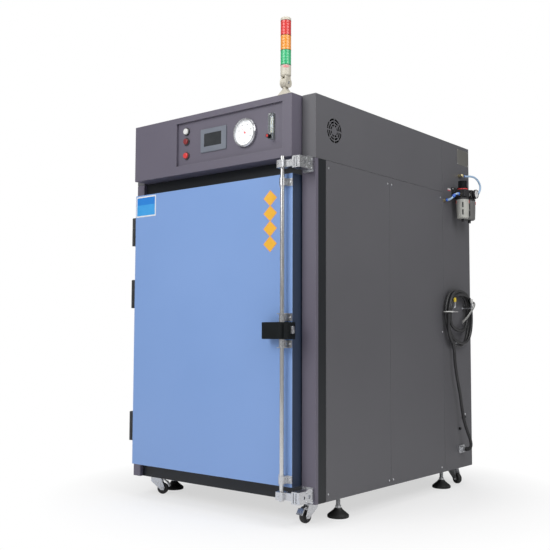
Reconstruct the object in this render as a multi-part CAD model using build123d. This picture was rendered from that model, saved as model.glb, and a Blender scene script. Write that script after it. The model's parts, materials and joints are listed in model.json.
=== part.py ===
from build123d import *
import os
from math import tan, radians, pi

os.makedirs("parts", exist_ok=True)

# Cabinet
cab_w = 1045.0
cab_d = 1309.0
floor_gap = 86.0
door_z = 63.5
door_h = 1217.6
box_gap = 66.2
box_h = 252.7
door_top = door_z + door_h
cab_h = door_top + box_gap + box_h
sheet = 1.5
skin = 12.0
tube = 30.0
tube_wall = 2.0
seam = 1.5
seam_z = cab_h - box_h - 4.3
front_seam_y = 69.0
rear_seam_y = cab_d - 280.0
mid_seam_y = rear_seam_y - 484.0
stile_right_w = 66.0
stile_left_w = 45.0
stile_depth = 18.0
header_t = 2.0
pan_t = 2.0
vent_y = 126.0
vent_z = cab_h - 129.0
vent_rings = ((18.0, 26.0), (30.0, 38.0), (42.0, 50.0))
vent_sectors = 8
vent_spoke = 5.0
louvre_rows = 7
louvre_w = 260.0
louvre_h = 9.0
louvre_pitch = 26.0
louvre_z = 300.0
louvre_at = (0.28, 0.72)

# Heated chamber
chamber_w = cab_w - 245.0
chamber_h = door_h - 141.6
chamber_d = rear_seam_y - 129.0
chamber_z = door_z + 70.5
liner_t = 1.5
wool_gap = 0.5
wool_top = seam_z - 13.0
deck_t = 2.0
shaft_hole_r = 23.0

# Air ducts and shelves
duct_gap = 40.0
duct_t = 1.2
duct_front = 60.0
baffle_y = rear_seam_y - 249.0
slot_h = 8.0
slot_len = 90.0
slot_rows = 8
slot_cols = 4
inlet_slots = 16
runner = 20.0
runner_t = 1.5
shelf_y = 150.0
shelf_d = baffle_y - shelf_y - 30.0
shelf_bar = 10.0
shelf_t = 4.0
shelf_bars = 11
shelf_low_z = chamber_z + 196.0
shelf_pitch = chamber_h / 2 - 178.0
shelf_clear = 0.4
shelf_side = 1.5

# Circulation fan
wheel_r = 150.0
wheel_w = 70.0
wheel_t = 2.0
blades = 12
hub_r = 24.0
shaft_r = 10.0
fan_y = baffle_y + 25.0
motor_r = 80.0
motor_len = 170.0
motor_fins = 8
fit = 0.05

# Heaters
heater_r = 5.0
heater_len = 380.0
heater_pitch = 60.0
heater_y = baffle_y + 65.0
heater_x = chamber_w / 2 - 165.0

# Door
door_right_gap = 73.0
door_left_gap = 47.5
door_w = cab_w - door_right_gap - door_left_gap
door_front = 53.7
door_back = 10.3
door_round = 5.0
inner_t = 1.5
plug_gap = 14.0
plug_depth = 32.0
gasket_w = 18.0
gasket_lap = 10.0
touch = 0.3

# Hinges
hinge_out = 20.5
hinge_y = 38.0
hinge_r = 11.0
hinge_len = 128.0
hinge_split = 18.0
hinge_zs = (door_z + 166.5, door_top - 451.1, door_top - 164.1)
leaf_t = 3.0
arm_half = 6.0
pin_r = 4.0
run = 0.06

# Door lock
rod_x = 103.5
rod_y = 78.5
rod_r = 8.75
rod_z0 = door_z - 52.0
rod_z1 = door_top + 66.9
cam_zs = (door_z - 29.5, door_top + 33.9)
cam_w = 36.0
cam_h = 30.0
tongue_t = 10.0
tongue_h = 28.0
tongue_reach = 57.0
jaw_gap = 1.5
jaw_right = 8.0
jaw_h = 46.0
jaw_teeth = 3
keeper_out = 92.0
guide_zs = (door_z + 29.5, door_top - 36.1)
guide_h = 30.0
guide_wall = 3.5
guide_wing = 20.0
guide_clear = 0.3
handle_z = door_z + door_h / 2 - 9.3
handle_h = 66.0
handle_len = 84.0
handle_back = 14.0
grip_r = 23.0
handle_round = 3.0
lug_z = 64.0
lug_t = 3.0
stop_w = 21.0

# Control box
box_right = 70.0
box_left = 53.0
box_out = 64.2
window = (721.5, 113.9, cab_h - 218.0, cab_h - 23.5)
window_depth = 12.0
plate_t = 2.0
hmi = (578.0, 427.6, cab_h - 173.1, cab_h - 71.6)
screen = (555.6, 454.5, cab_h - 149.2, cab_h - 92.3)
hmi_out = 6.0
hmi_back = 38.0
gauge_x = 320.0
gauge_z = cab_h - 122.3
gauge_r = 60.3
gauge_out = 15.0
gauge_back = 34.0
dial_r = 51.5
button_x = 665.5
button_zs = (cab_h - 172.7, cab_h - 110.4, cab_h - 65.8)
button_r = 13.0
collar_r = 15.5
collar_out = 5.0
button_out = 13.0
button_stem = 12.0
button_dome = 3.5
flow_x = 174.7
flow_z = cab_h - 172.0
flow_h = 105.0
flow_w = 22.0
flow_out = 20.0
flow_back = 14.0
knob_r = 8.0
knob_out = 17.0

# Signal tower
tower_x = 164.0
tower_y = 15.0
pivot_z = 73.0
knuckle_r = 21.0
knuckle_half = 15.0
ear_half = 6.0
tower_r = 21.8
tower_base_z = 26.0
tower_base_h = 47.0
lens_h = 62.0
cap_h = 15.0
lens_wall = 2.5
lens_ribs = 5
foot_w = 76.0
foot_d = 56.0

# Casters and levelling feet
caster_in = 72.0
wheel_rad = 25.0
wheel_wide = 21.0
wheel_lift = 0.8
trail = 34.0
plate_size = 66.0
plate_thick = 3.0
race_r = 21.0
race_h = 9.0
cheek_t = 3.0
cheek_gap = 26.0
axle_r = 4.0
pedal_w = 21.0
pedal_up = 34.0
pedal_u = 22.0
pedal_pin_r = 2.5
pedal_knuckle_r = 5.0
yaws = {"front_left": 37.0, "front_right": -102.0, "rear_left": 160.0, "rear_right": -21.0}
foot_in = 46.5
foot_front_y = 214.0
foot_rear_y = cab_d - 234.0
foot_r = 44.0
foot_cone_h = 38.0
stem_r = 8.0
nut_r = 13.0
socket_half = 16.0

# Air filter set
frl_x = 52.0
frl_y = cab_d - 171.0
frl_pitch = 70.0
frl_r = 30.0
frl_guard_z = cab_h - 383.0
frl_body_z = frl_guard_z + 95.0
frl_ring_z = frl_body_z + 55.0
frl_knob_z = frl_ring_z + 37.0
frl_drain = 14.0
frl_gauge_r = 22.0
frl_gauge_h = 11.0
port_z = frl_body_z + 25.0
hose_r = 5.0
upper_port = (frl_y + 61.5, frl_body_z + 134.0)
lower_port = (frl_y - 95.0, frl_body_z - 9.0)
fit_r = 8.5
fit_len = 13.0
elbow_out = 17.0

# Cable
cable_r = 7.5
coil_y = cab_d - 174.0
coil_z = 729.0
coil_h = 290.0
coil_w = 261.0
coil_hole_w = 189.0
coil_hole_h = 146.0
coil_hole_up = 34.0
coil_x0 = 8.0
coil_x1 = 42.0
hook_side = 87.4
hook_z = coil_z + 51.0
hook_r = 4.5
hook_out = 51.0
hook_up = 42.0
gland_y = cab_d - 123.0
gland_z = 92.0

# Hose routes from the right panel's face and the filter body, cable route from the gland
hose_up_points = [
    (17.0, 74.8, 134.0), (17.0, 100.0, 134.0), (27.0, 132.0, 140.0), (41.0, 164.0, 136.0),
    (52.0, 186.0, 112.0), (58.0, 187.0, 81.0), (57.0, 167.0, 54.0), (52.0, 138.0, 25.0),
    (52.0, 110.3, 25.0),
]
hose_low_points = [
    (52.0, -40.3, 25.0), (52.0, -60.0, 25.0), (49.0, -80.0, 14.0), (36.0, -95.0, -9.0),
    (13.3, -95.0, -9.0),
]
cable_points = [
    (25.0, -96.0, 486.0), (26.0, -100.0, 442.0), (29.0, -94.0, 388.0), (30.0, -78.0, 332.0),
    (31.0, -58.0, 274.0), (31.0, -43.0, 213.0), (34.0, -31.0, 153.0), (43.0, -18.0, 98.0),
    (55.0, -6.0, 56.0), (59.0, 0.0, 20.0), (47.0, 0.0, 0.0), (22.0, 0.0, 0.0),
]

# Places in the frame of the part
side_reach = frl_x + frl_r + frl_gauge_h
front_reach = rod_y + grip_r
right = (cab_w - side_reach) / 2
left = right - cab_w
front = (front_reach - cab_d) / 2
back = front + cab_d
base = floor_gap
top = base + cab_h
door_right = right - door_right_gap
door_left = door_right - door_w
chamber_cx = (door_right + door_left) / 2
cx0 = chamber_cx - chamber_w / 2
cx1 = chamber_cx + chamber_w / 2
cz0 = base + chamber_z
cz1 = cz0 + chamber_h
cy0 = front + stile_depth + header_t
cy1 = cy0 + chamber_d
inner_left = left + skin + tube
inner_right = right - skin - tube
bulk_y = front + rear_seam_y - tube / 2
fan_z = (cz0 + cz1) / 2
hinge_ax = door_left - hinge_out
hinge_ay = front - hinge_y
rod_ax = right - rod_x
rod_ay = front - rod_y
face_y = front - door_front
axle_z = wheel_lift + wheel_rad
crown_z = floor_gap - plate_thick - touch
pedal_z = axle_z + pedal_up


def block(x0, x1, y0, y1, z0, z1):
    """A box between two corners."""
    return Pos((x0 + x1) / 2, (y0 + y1) / 2, (z0 + z1) / 2) * Box(x1 - x0, y1 - y0, z1 - z0)


def along_x(x0, x1, y, z, r):
    return Pos((x0 + x1) / 2, y, z) * Rot(0, 90, 0) * Cylinder(r, x1 - x0)


def along_y(x, y0, y1, z, r):
    return Pos(x, (y0 + y1) / 2, z) * Rot(90, 0, 0) * Cylinder(r, y1 - y0)


def along_z(x, y, z0, z1, r):
    return Pos(x, y, (z0 + z1) / 2) * Cylinder(r, z1 - z0)


def turned(points):
    """A solid of revolution about Z from its half outline, listed as (radius, height)."""
    return revolve(Plane.XZ * make_face(Polyline(*points, close=True)), Axis.Z)


def tray(x0, x1, y0, y1, z0, z1, open_to, t=sheet):
    """A folded sheet with its flanges turned towards one side."""
    grow = {"-x": (x0 - 1, 0), "+x": (0, x1 + 1), "-y": (y0 - 1, 0), "+y": (0, y1 + 1),
            "-z": (z0 - 1, 0), "+z": (0, z1 + 1)}[open_to]
    lows = [x0 + t, y0 + t, z0 + t]
    highs = [x1 - t, y1 - t, z1 - t]
    i = "xyz".index(open_to[1])
    if open_to[0] == "-":
        lows[i] = grow[0]
    else:
        highs[i] = grow[1]
    return block(x0, x1, y0, y1, z0, z1) - block(lows[0], highs[0], lows[1], highs[1], lows[2], highs[2])


def square_tube(x0, x1, y0, y1, z0, z1):
    """A length of square tube, open at its ends along its longest side."""
    spans = [x1 - x0, y1 - y0, z1 - z0]
    i = spans.index(max(spans))
    lows = [x0 + tube_wall, y0 + tube_wall, z0 + tube_wall]
    highs = [x1 - tube_wall, y1 - tube_wall, z1 - tube_wall]
    lows[i] -= 2 * tube_wall
    highs[i] += 2 * tube_wall
    return block(x0, x1, y0, y1, z0, z1) - block(lows[0], highs[0], lows[1], highs[1], lows[2], highs[2])


def caster_spots():
    """Swivel centre of each caster, by corner."""
    return {
        "front_left": (left + caster_in, front + caster_in),
        "front_right": (right - caster_in, front + caster_in),
        "rear_left": (left + caster_in, back - caster_in),
        "rear_right": (right - caster_in, back - caster_in),
    }


def foot_spots():
    """Centre of each levelling foot, by corner."""
    return {
        "front_left": (left + foot_in, front + foot_front_y),
        "front_right": (right - foot_in, front + foot_front_y),
        "rear_left": (left + foot_in, front + foot_rear_y),
        "rear_right": (right - foot_in, front + foot_rear_y),
    }


def cabinet_frame():
    """Square tube skeleton, floor pan, deck, bulkhead, caster plates and foot sockets."""
    y0 = front + stile_depth + header_t
    y1 = back - skin
    low = base + pan_t
    high = top - skin
    rear_y = bulk_y
    solids = []
    holes = []
    rails = [square_tube(x, x + tube, y0, y1, low, low + tube) for x in (left + skin, inner_right)]
    for x in (left + skin, inner_right):
        solids.append(square_tube(x, x + tube, y0, y1, high - tube, high))
        for y in (y0, rear_y, y1 - tube):
            solids.append(square_tube(x, x + tube, y, y + tube, low + tube, high - tube))
        solids.append(square_tube(x, x + tube, y0 + tube, rear_y, base + wool_top, base + wool_top + tube))
    for y in (y0, y1 - tube):
        solids.append(square_tube(inner_left, inner_right, y, y + tube, low, low + tube))
        solids.append(square_tube(inner_left, inner_right, y, y + tube, high - tube, high))
    pan = block(left + skin, right - skin, y0, y1, base, low)
    bulkhead = block(inner_left, inner_right, bulk_y, bulk_y + deck_t, low + tube, base + wool_top)
    bulkhead -= along_y(chamber_cx, bulk_y - 1, bulk_y + deck_t + 1, fan_z, shaft_hole_r)
    deck = block(inner_left, inner_right, y0 + tube, bulk_y, base + wool_top, base + wool_top + deck_t)
    for x, y in caster_spots().values():
        plate = block(x - plate_size / 2, x + plate_size / 2, y - plate_size / 2, y + plate_size / 2,
                      base - plate_thick, base)
        pin = along_z(x, y, base - plate_thick - race_h + 1, base - plate_thick, axle_r + 1)
        solids.append(plate + pin)
    for x, y in foot_spots().values():
        hole = along_z(x, y, base - 1, low + tube + 1, stem_r + touch)
        wall = inner_left if x < chamber_cx else inner_right
        far = x + socket_half if x < chamber_cx else x - socket_half
        x0, x1 = sorted((wall, far))
        solids.append(block(x0, x1, y - tube / 2, y + tube / 2, low, low + tube) - hole)
        pan -= hole
        holes.append(hole)
    rails = [rail - holes for rail in rails]
    return Compound(rails + solids + [pan, bulkhead, deck])


def side_panels(x_out, way, louvre=False):
    """Outer panels of one side: lower two, rear full height, and the upper one that turns the corner."""
    x_in = x_out - way * skin
    x0, x1 = sorted((x_out, x_in))
    face = "-x" if way > 0 else "+x"
    stile_w = stile_right_w if way > 0 else stile_left_w
    split = base + seam_z
    solids = []
    for y0, y1 in ((front_seam_y, mid_seam_y - seam), (mid_seam_y, rear_seam_y - seam)):
        solids.append(tray(x0, x1, front + y0, front + y1, base, split - seam, face))
    solids.append(tray(x0, x1, front + rear_seam_y, back, base, top, face))
    upper = tray(x0, x1, front, front + rear_seam_y - seam, split, top, face)
    corner = sorted((x_out, x_out - way * stile_w))
    upper += block(corner[0], corner[1], front, front + sheet, split, top)
    inner = sorted((x_out - way * stile_w, x_out - way * (stile_w - sheet)))
    upper += block(inner[0], inner[1], front, front + stile_depth, split, top)
    if louvre:
        upper -= vent_slots(x0, x1)
    solids.append(upper)
    return Compound(solids)


def vent_slots(x0, x1):
    """Three rings of arc slots in front of the cooling fan."""
    cuts = []
    reach = vent_rings[-1][1]
    spokes = [Rot(0, 0, 360 / vent_sectors * i) * Pos(reach, 0) * Rectangle(2 * reach, vent_spoke)
              for i in range(vent_sectors)]
    for r0, r1 in vent_rings:
        ring = Circle(r1) - Circle(r0)
        for spoke in spokes:
            ring -= spoke
        cuts.append(extrude(ring, amount=x1 - x0 + 20, both=True))
    place = Pos((x0 + x1) / 2, front + vent_y, base + vent_z) * Rot(0, 90, 0)
    return [place * c for c in cuts]


def front_frame():
    """Folded stiles and the plate around the chamber mouth."""
    split = base + seam_z - seam
    y_plate = front + stile_depth
    plate = block(left + sheet, right - sheet, y_plate, y_plate + header_t, base, top - skin)
    plate -= block(cx0, cx1, y_plate - 1, y_plate + header_t + 1, cz0, cz1)
    upper_cut = top - skin - base - seam_z
    for x_out, way, w in ((right, 1, stile_right_w), (left, -1, stile_left_w)):
        for a, b, y0, y1 in (
            (0, w, front, front + sheet),
            (0, sheet, front, front + front_seam_y - seam),
            (w - sheet, w, front, y_plate),
            (0, skin, front + front_seam_y - seam - sheet, front + front_seam_y - seam),
        ):
            x0, x1 = sorted((x_out - way * a, x_out - way * b))
            plate += block(x0, x1, y0, y1, base, split)
        x0, x1 = sorted((x_out, x_out - way * skin))
        plate -= block(x0 - 1 if way < 0 else x0, x1 if way < 0 else x1 + 1, y_plate - 1,
                       y_plate + header_t + 1, base + seam_z, base + seam_z + upper_cut + 1)
    return plate


def roof_panel():
    return tray(left + skin, right - skin, front + stile_depth, back - skin, top - skin, top, "-z")


def rear_panel():
    """Rear cover with two fields of punched louvre slots."""
    panel = tray(left + skin, right - skin, back - skin, back, base, top, "-y")
    for x in [left + cab_w * share for share in louvre_at]:
        for i in range(louvre_rows):
            z = base + louvre_z + i * louvre_pitch
            slot = SlotOverall(louvre_w, louvre_h)
            panel -= Pos(x, back, z) * Rot(90, 0, 0) * extrude(slot, amount=skin, both=True)
    return panel


def chamber_liner():
    """Stainless box of five welded sheets, open to the front."""
    x0, x1 = cx0 - liner_t, cx1 + liner_t
    back_sheet = block(x0, x1, cy1, cy1 + liner_t, cz0 - liner_t, cz1 + liner_t)
    back_sheet -= along_y(chamber_cx, cy1 - 1, cy1 + liner_t + 1, fan_z, shaft_hole_r)
    return Compound([
        block(x0, cx0, cy0, cy1, cz0, cz1),
        block(cx1, x1, cy0, cy1, cz0, cz1),
        block(x0, x1, cy0, cy1, cz0 - liner_t, cz0),
        block(x0, x1, cy0, cy1, cz1, cz1 + liner_t),
        back_sheet,
    ])


def insulation():
    """Mineral wool slabs round the liner."""
    low = base + pan_t + tube + wool_gap
    high = base + wool_top - wool_gap
    y0, y1 = cy0 + tube + wool_gap, bulk_y - wool_gap
    x0 = cx0 - liner_t - wool_gap
    x1 = cx1 + liner_t + wool_gap
    z0 = cz0 - liner_t - wool_gap
    z1 = cz1 + liner_t + wool_gap
    rear = block(x0, x1, cy1 + liner_t + wool_gap, y1, z0, z1)
    rear -= along_y(chamber_cx, cy1, y1 + 1, fan_z, shaft_hole_r)
    return Compound([
        block(inner_left + wool_gap, x0, y0, y1, low, high),
        block(x1, inner_right - wool_gap, y0, y1, low, high),
        block(x0, x1, y0, y1, low, z0),
        block(x0, x1, y0, y1, z1, high),
        rear,
    ])


def duct_side(x_wall, way):
    """Slotted duct sheet along one chamber wall, folded to the wall at its front."""
    x = x_wall + way * duct_gap
    a, b = sorted((x, x - way * duct_t))
    y0, y1 = front + duct_front, front + baffle_y
    panel = block(a, b, y0, y1, cz0, cz1)
    c, d = sorted((x_wall, x))
    panel += block(c, d, y0, y0 + duct_t, cz0, cz1)
    rise = chamber_h / (slot_rows + 1)
    reach = (y1 - y0) / slot_cols
    for i in range(slot_rows):
        for j in range(slot_cols):
            y = y0 + reach * (j + 0.5)
            z = cz0 + rise * (i + 1) + rise / 4
            panel -= block(a - 1, b + 1, y - slot_len / 2, y + slot_len / 2, z, z + slot_h)
    return panel


def runner_at(x_face, way, z):
    """Angle that carries one side of a shelf."""
    y0, y1 = front + shelf_y - duct_front / 2, front + baffle_y - duct_front / 4
    x = x_face + way * runner
    a, b = sorted((x_face, x))
    c, d = sorted((x_face, x_face + way * runner_t))
    return block(a, b, y0, y1, z - runner_t, z) + block(c, d, y0, y1, z, z + runner)


def air_ducts():
    """Side ducts, rear baffle with its fan inlet, and the shelf runners."""
    y = front + baffle_y
    baffle = block(cx0, cx1, y, y + duct_t, cz0, cz1)
    slot = Pos(wheel_r * 0.52, 0) * SlotOverall(wheel_r * 0.62, slot_h)
    for i in range(inlet_slots):
        cut = extrude(Rot(0, 0, 360 / inlet_slots * i) * slot, amount=5, both=True)
        baffle -= Pos(chamber_cx, y, fan_z) * Rot(90, 0, 0) * cut
    parts = [duct_side(cx0, 1), duct_side(cx1, -1), baffle]
    for z in shelf_levels():
        parts.append(runner_at(cx0 + duct_gap, 1, z))
        parts.append(runner_at(cx1 - duct_gap, -1, z))
    return Compound(parts)


def shelf_levels():
    return [cz0 + shelf_low_z - chamber_z + i * shelf_pitch for i in range(2)]


def shelf(z):
    """Welded bar shelf that slides on its runners."""
    x0 = cx0 + duct_gap + runner_t + shelf_side
    x1 = cx1 - duct_gap - runner_t - shelf_side
    y0 = front + shelf_y
    y1 = y0 + shelf_d
    z0 = z + shelf_clear
    rim = block(x0, x1, y0, y1, z0, z0 + shelf_bar)
    rim -= block(x0 + shelf_bar, x1 - shelf_bar, y0 + shelf_bar, y1 - shelf_bar, z0 - 1, z0 + shelf_bar + 1)
    step = (x1 - x0) / (shelf_bars + 1)
    for i in range(shelf_bars):
        x = x0 + step * (i + 1)
        rim += block(x - shelf_t, x + shelf_t, y0 + shelf_bar / 2, y1 - shelf_bar / 2,
                     z0 + shelf_bar - shelf_t, z0 + shelf_bar)
    return rim


def fan_impeller():
    """Backward-curved wheel with its hub, back disc, front ring and shaft."""
    z1 = wheel_w
    disc = Cylinder(wheel_r, wheel_t, align=(Align.CENTER, Align.CENTER, Align.MIN))
    disc = Pos(0, 0, z1 - wheel_t) * disc
    ring = extrude(Circle(wheel_r) - Circle(wheel_r * 0.62), amount=wheel_t)
    hub = extrude(Circle(hub_r), amount=-hub_r)
    hub = Pos(0, 0, z1) * hub
    arc = ThreePointArc((wheel_r * 0.64, 0), (wheel_r * 0.84, wheel_r * 0.16),
                        (wheel_r * 0.97, wheel_r * 0.42))
    blade = extrude(make_face(offset(arc, wheel_t / 2, side=Side.BOTH)), amount=z1 - wheel_t)
    wheel = disc + ring + hub
    for i in range(blades):
        wheel += Rot(0, 0, 360 / blades * i) * blade
    place = Pos(chamber_cx, front + fan_y, fan_z) * Rot(-90, 0, 0)
    shaft_end = bulk_y + deck_t + motor_len / 2
    shaft = along_y(chamber_cx, front + fan_y + wheel_w, shaft_end, fan_z, shaft_r)
    return place * wheel + shaft


def fan_motor():
    """Ribbed motor with its flange on the bulkhead."""
    fin = motor_len / (2 * motor_fins)
    pts = [(0, 0), (motor_r + 20, 0), (motor_r + 20, 10), (motor_r, 10)]
    for i in range(motor_fins):
        y = 14 + i * fin * 1.7
        pts += [(motor_r, y), (motor_r - 8, y), (motor_r - 8, y + fin * 0.8), (motor_r, y + fin * 0.8)]
    pts += [(motor_r, motor_len - 12), (motor_r - 16, motor_len), (0, motor_len)]
    body = turned(pts)
    body -= Pos(0, 0, motor_len / 4) * Cylinder(shaft_r + fit, motor_len / 2 + 2)
    return Pos(chamber_cx, bulk_y + deck_t, fan_z) * Rot(-90, 0, 0) * body


def heater_elements():
    """Hairpin heaters hung from the chamber ceiling behind the baffle."""
    parts = []
    for way in (-1, 1):
        for i in range(2):
            x = chamber_cx + way * (heater_x + i * heater_pitch * 1.2)
            y = front + heater_y
            half = heater_pitch / 4
            path = FilletPolyline(
                (x - half, y, cz1 - 4), (x - half, y, cz1 - heater_len), (x + half, y, cz1 - heater_len),
                (x + half, y, cz1 - 4), radius=half * 0.98)
            rod = sweep(Plane((x - half, y, cz1 - 4), z_dir=(0, 0, -1)) * Circle(heater_r), path)
            flange = block(x - half * 2, x + half * 2, y - half, y + half, cz1 - 4, cz1)
            parts.append(rod + flange)
    return Compound(parts)


def door_shell():
    """Outer door pan with rounded front edges."""
    shell = block(door_left, door_right, face_y, front + door_back, base + door_z, base + door_z + door_h)
    edges = shell.edges().filter_by(Axis.Z).sort_by(Axis.Y)[:2]
    shell = fillet(edges, door_round)
    return shell - block(door_left + sheet, door_right - sheet, face_y + sheet, front + door_back + 1,
                         base + door_z + sheet, base + door_z + door_h - sheet)


def door_inner_panel():
    """Stainless back of the door with the plug that enters the chamber mouth."""
    y0 = front + door_back
    cover = block(door_left, door_right, y0, y0 + inner_t, base + door_z, base + door_z + door_h)
    plug = block(cx0 + plug_gap, cx1 - plug_gap, y0 + inner_t, y0 + inner_t + plug_depth,
                 cz0 + plug_gap, cz1 - plug_gap)
    rear = plug.edges().group_by(Axis.Y)[-1]
    plug = fillet(rear, door_round)
    hollow = block(cx0 + plug_gap + inner_t, cx1 - plug_gap - inner_t, y0 - 1, y0 + plug_depth,
                   cz0 + plug_gap + inner_t, cz1 - plug_gap - inner_t)
    return cover + plug - hollow


def door_gasket():
    """Silicone seal strips round the chamber mouth."""
    y0 = front + door_back + inner_t + touch
    y1 = front + stile_depth
    a0, a1 = cx0 - gasket_lap, cx1 + gasket_lap
    c0, c1 = cz0 - gasket_lap, cz1 + gasket_lap
    return Compound([
        block(a0 - gasket_w, a0, y0, y1, c0, c1),
        block(a1, a1 + gasket_w, y0, y1, c0, c1),
        block(a0 - gasket_w, a1 + gasket_w, y0, y1, c0 - gasket_w, c0),
        block(a0 - gasket_w, a1 + gasket_w, y0, y1, c1, c1 + gasket_w),
    ])


def hinge_frame_leaf(z):
    """Lower knuckle with its pin, arm and plate on the stile."""
    z0, z1 = z - hinge_len / 2, z + hinge_split
    leaf = along_z(hinge_ax, hinge_ay, z0, z1, hinge_r)
    leaf += along_z(hinge_ax, hinge_ay, z1, z + hinge_len / 2, pin_r)
    leaf += block(hinge_ax - arm_half, hinge_ax + arm_half, hinge_ay, front - leaf_t, z0, z1)
    leaf += block(left + leaf_t, left + stile_left_w - leaf_t, front - leaf_t, front, z0, z + hinge_len / 2)
    return leaf


def hinge_door_leaf(z):
    """Upper knuckle with its arm and plate on the door's edge."""
    z0, z1 = z + hinge_split + touch, z + hinge_len / 2
    leaf = along_z(hinge_ax, hinge_ay, z0, z1, hinge_r)
    leaf += block(hinge_ax, door_left, hinge_ay - arm_half, hinge_ay + arm_half, z0, z1)
    leaf -= along_z(hinge_ax, hinge_ay, z0 - 1, z1 + 1, pin_r + run)
    leaf += block(door_left - leaf_t, door_left, face_y + leaf_t, front, z - hinge_len / 2, z1)
    return leaf


def lock_rod():
    rod = along_z(rod_ax, rod_ay, base + rod_z0, base + rod_z1, rod_r)
    return chamfer(rod.edges(), 1.5)


def cam(z):
    """Clamp block on the rod with its tongue."""
    body = block(rod_ax - cam_w / 2, rod_ax + cam_w / 2, rod_ay - cam_w / 2, rod_ay + cam_w / 2,
                 z - cam_h / 2, z + cam_h / 2)
    body = fillet(body.edges().filter_by(Axis.Z), 4)
    neck = cam_w / 2 - 1
    body += block(rod_ax + neck, rod_ax + tongue_reach, rod_ay - tongue_t / 2, rod_ay + tongue_t / 2,
                  z - tongue_h / 2, z + tongue_h / 2)
    body -= along_y(rod_ax, rod_ay - cam_w, rod_ay, z, 3)
    body -= along_z(rod_ax, rod_ay, z - cam_h, z + cam_h, rod_r)
    return body


def split_collar(z0, z1):
    """Slit clamp collar between the handle and its bracket."""
    collar = along_z(rod_ax, rod_ay, z0, z1, rod_r + 3.5)
    collar -= along_z(rod_ax, rod_ay, z0 - 1, z1 + 1, rod_r)
    return collar - block(rod_ax - 1.5, rod_ax + 1.5, rod_ay - rod_r - 5, rod_ay, z0 - 1, z1 + 1)


def lock_cams():
    z = base + handle_z
    return Compound([cam(base + c) for c in cam_zs] + [
        split_collar(z + handle_h / 2, z + lug_z - touch),
        split_collar(z - lug_z + touch, z - handle_h / 2),
    ])


def handle():
    """Moulded lever with a round hub on the rod."""
    lever = Circle(grip_r) + Pos(-handle_len / 2, (handle_back - grip_r) / 2) * Rectangle(
        handle_len, grip_r + handle_back)
    body = extrude(lever, amount=handle_h / 2, both=True)
    body = fillet(body.edges().group_by(Axis.Z)[-1] + body.edges().group_by(Axis.Z)[0], handle_round)
    recess = Pos(-handle_len / 2 - 8, handle_back, 0) * Box(handle_len * 0.5, 20, handle_h * 0.62)
    body -= fillet(recess.edges().filter_by(Axis.Y), 5)
    body -= Cylinder(rod_r, handle_h + 2)
    return Pos(rod_ax, rod_ay, base + handle_z) * body


def rod_guide(z):
    """Saddle strap that holds the rod against the door."""
    inner = rod_r + guide_clear
    outer = inner + guide_wall
    stand = face_y - rod_ay
    arch = Circle(outer) + Pos(0, stand / 2) * Rectangle(2 * outer, stand)
    arch += Pos(0, stand - guide_wall / 2) * Rectangle(2 * (outer + guide_wing), guide_wall)
    arch -= Circle(inner)
    strap = extrude(arch, amount=guide_h / 2, both=True)
    for side in (-1, 1):
        x = side * (outer + guide_wing / 2)
        strap -= Pos(x, stand - guide_wall / 2, 0) * Rot(90, 0, 0) * Cylinder(2.6, guide_wall + 2)
    return Pos(rod_ax, rod_ay, z) * strap


def handle_bracket(z, way):
    """Angle bracket beside the handle: a flange round the rod and a foot on the door."""
    x0, x1 = rod_ax - 17, door_right
    z0, z1 = sorted((z, z + way * lug_t))
    flange = block(x0, x1, rod_ay - 17, face_y, z0, z1)
    flange = fillet(flange.edges().filter_by(Axis.Z).sort_by(Axis.Y)[:2], 8)
    flange -= along_z(rod_ax, rod_ay, z0 - 1, z1 + 1, rod_r + guide_clear)
    f0, f1 = sorted((z, z - way * 26))
    return flange + block(x0, x1, face_y - lug_t, face_y, f0, f1)


def lock_brackets():
    """Rod guides, handle brackets and the catch lug, all on the door."""
    z = base + handle_z
    x = rod_ax + grip_r + jaw_gap + stop_w
    catch = along_x(x, x + 11, rod_ay, z + 3, 15)
    catch = catch & block(x - 1, x + 12, rod_ay - 7, rod_ay + 7, z - 20, z + 20)
    return Compound([rod_guide(base + g) for g in guide_zs] + [
        handle_bracket(z + lug_z, 1), handle_bracket(z - lug_z, -1), fillet(catch.edges(), 2)])


def handle_stop():
    """Fixed block beside the hub that the catch lug sits on."""
    x0 = rod_ax + grip_r + jaw_gap
    z = base + handle_z
    body = block(x0, x0 + stop_w, rod_ay - grip_r, face_y, z - handle_h / 2, z + handle_h / 2)
    return fillet(body.edges().filter_by(Axis.Z).sort_by(Axis.Y)[:2], handle_round)


def keeper(z):
    """Toothed keeper on the stile: base plate, two cheeks and the jaw in front of the tongue's path."""
    x0, x1 = rod_ax + tongue_reach + jaw_gap, right - jaw_right
    half = jaw_h / 2
    plate = block(x0 - 14, x1, front - 5, front, z - half - 7, z + half + 7)
    plate = fillet(plate.edges().filter_by(Axis.Y), 4)
    side = Polyline((0, 0), (keeper_out, 0), (keeper_out, jaw_h), (keeper_out * 0.55, jaw_h),
                    (keeper_out * 0.4, jaw_h + 6), (0, jaw_h + 6), close=True)
    across = Plane(origin=(x1, front, z - half), x_dir=(0, -1, 0), z_dir=(-1, 0, 0))
    cheek = extrude(across * make_face(side), amount=5)
    for reach, r in ((0.32, 8), (0.66, 6)):
        cheek -= along_x(x1 - 8, x1 + 2, front - keeper_out * reach, z, r)
    body = plate + cheek
    for s in (-1, 1):
        shelf_z = z + s * (half - 2)
        body += block(x0, x1, front - keeper_out, front - 5, shelf_z - 2, shelf_z + 2)
    pitch = (x1 - x0) / jaw_teeth
    for i in range(jaw_teeth):
        a = x0 + pitch * i
        body += block(a, a + pitch * 0.62, front - keeper_out, front - keeper_out + 9, z - half, z + half)
    body += block(x0, x1, front - keeper_out + 6, front - keeper_out + 9, z - half, z + half)
    for s in (-1, 1):
        body += along_y(x0 - 7, front - 9, front - 5, z + s * half * 0.75, 5)
    return body


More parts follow.
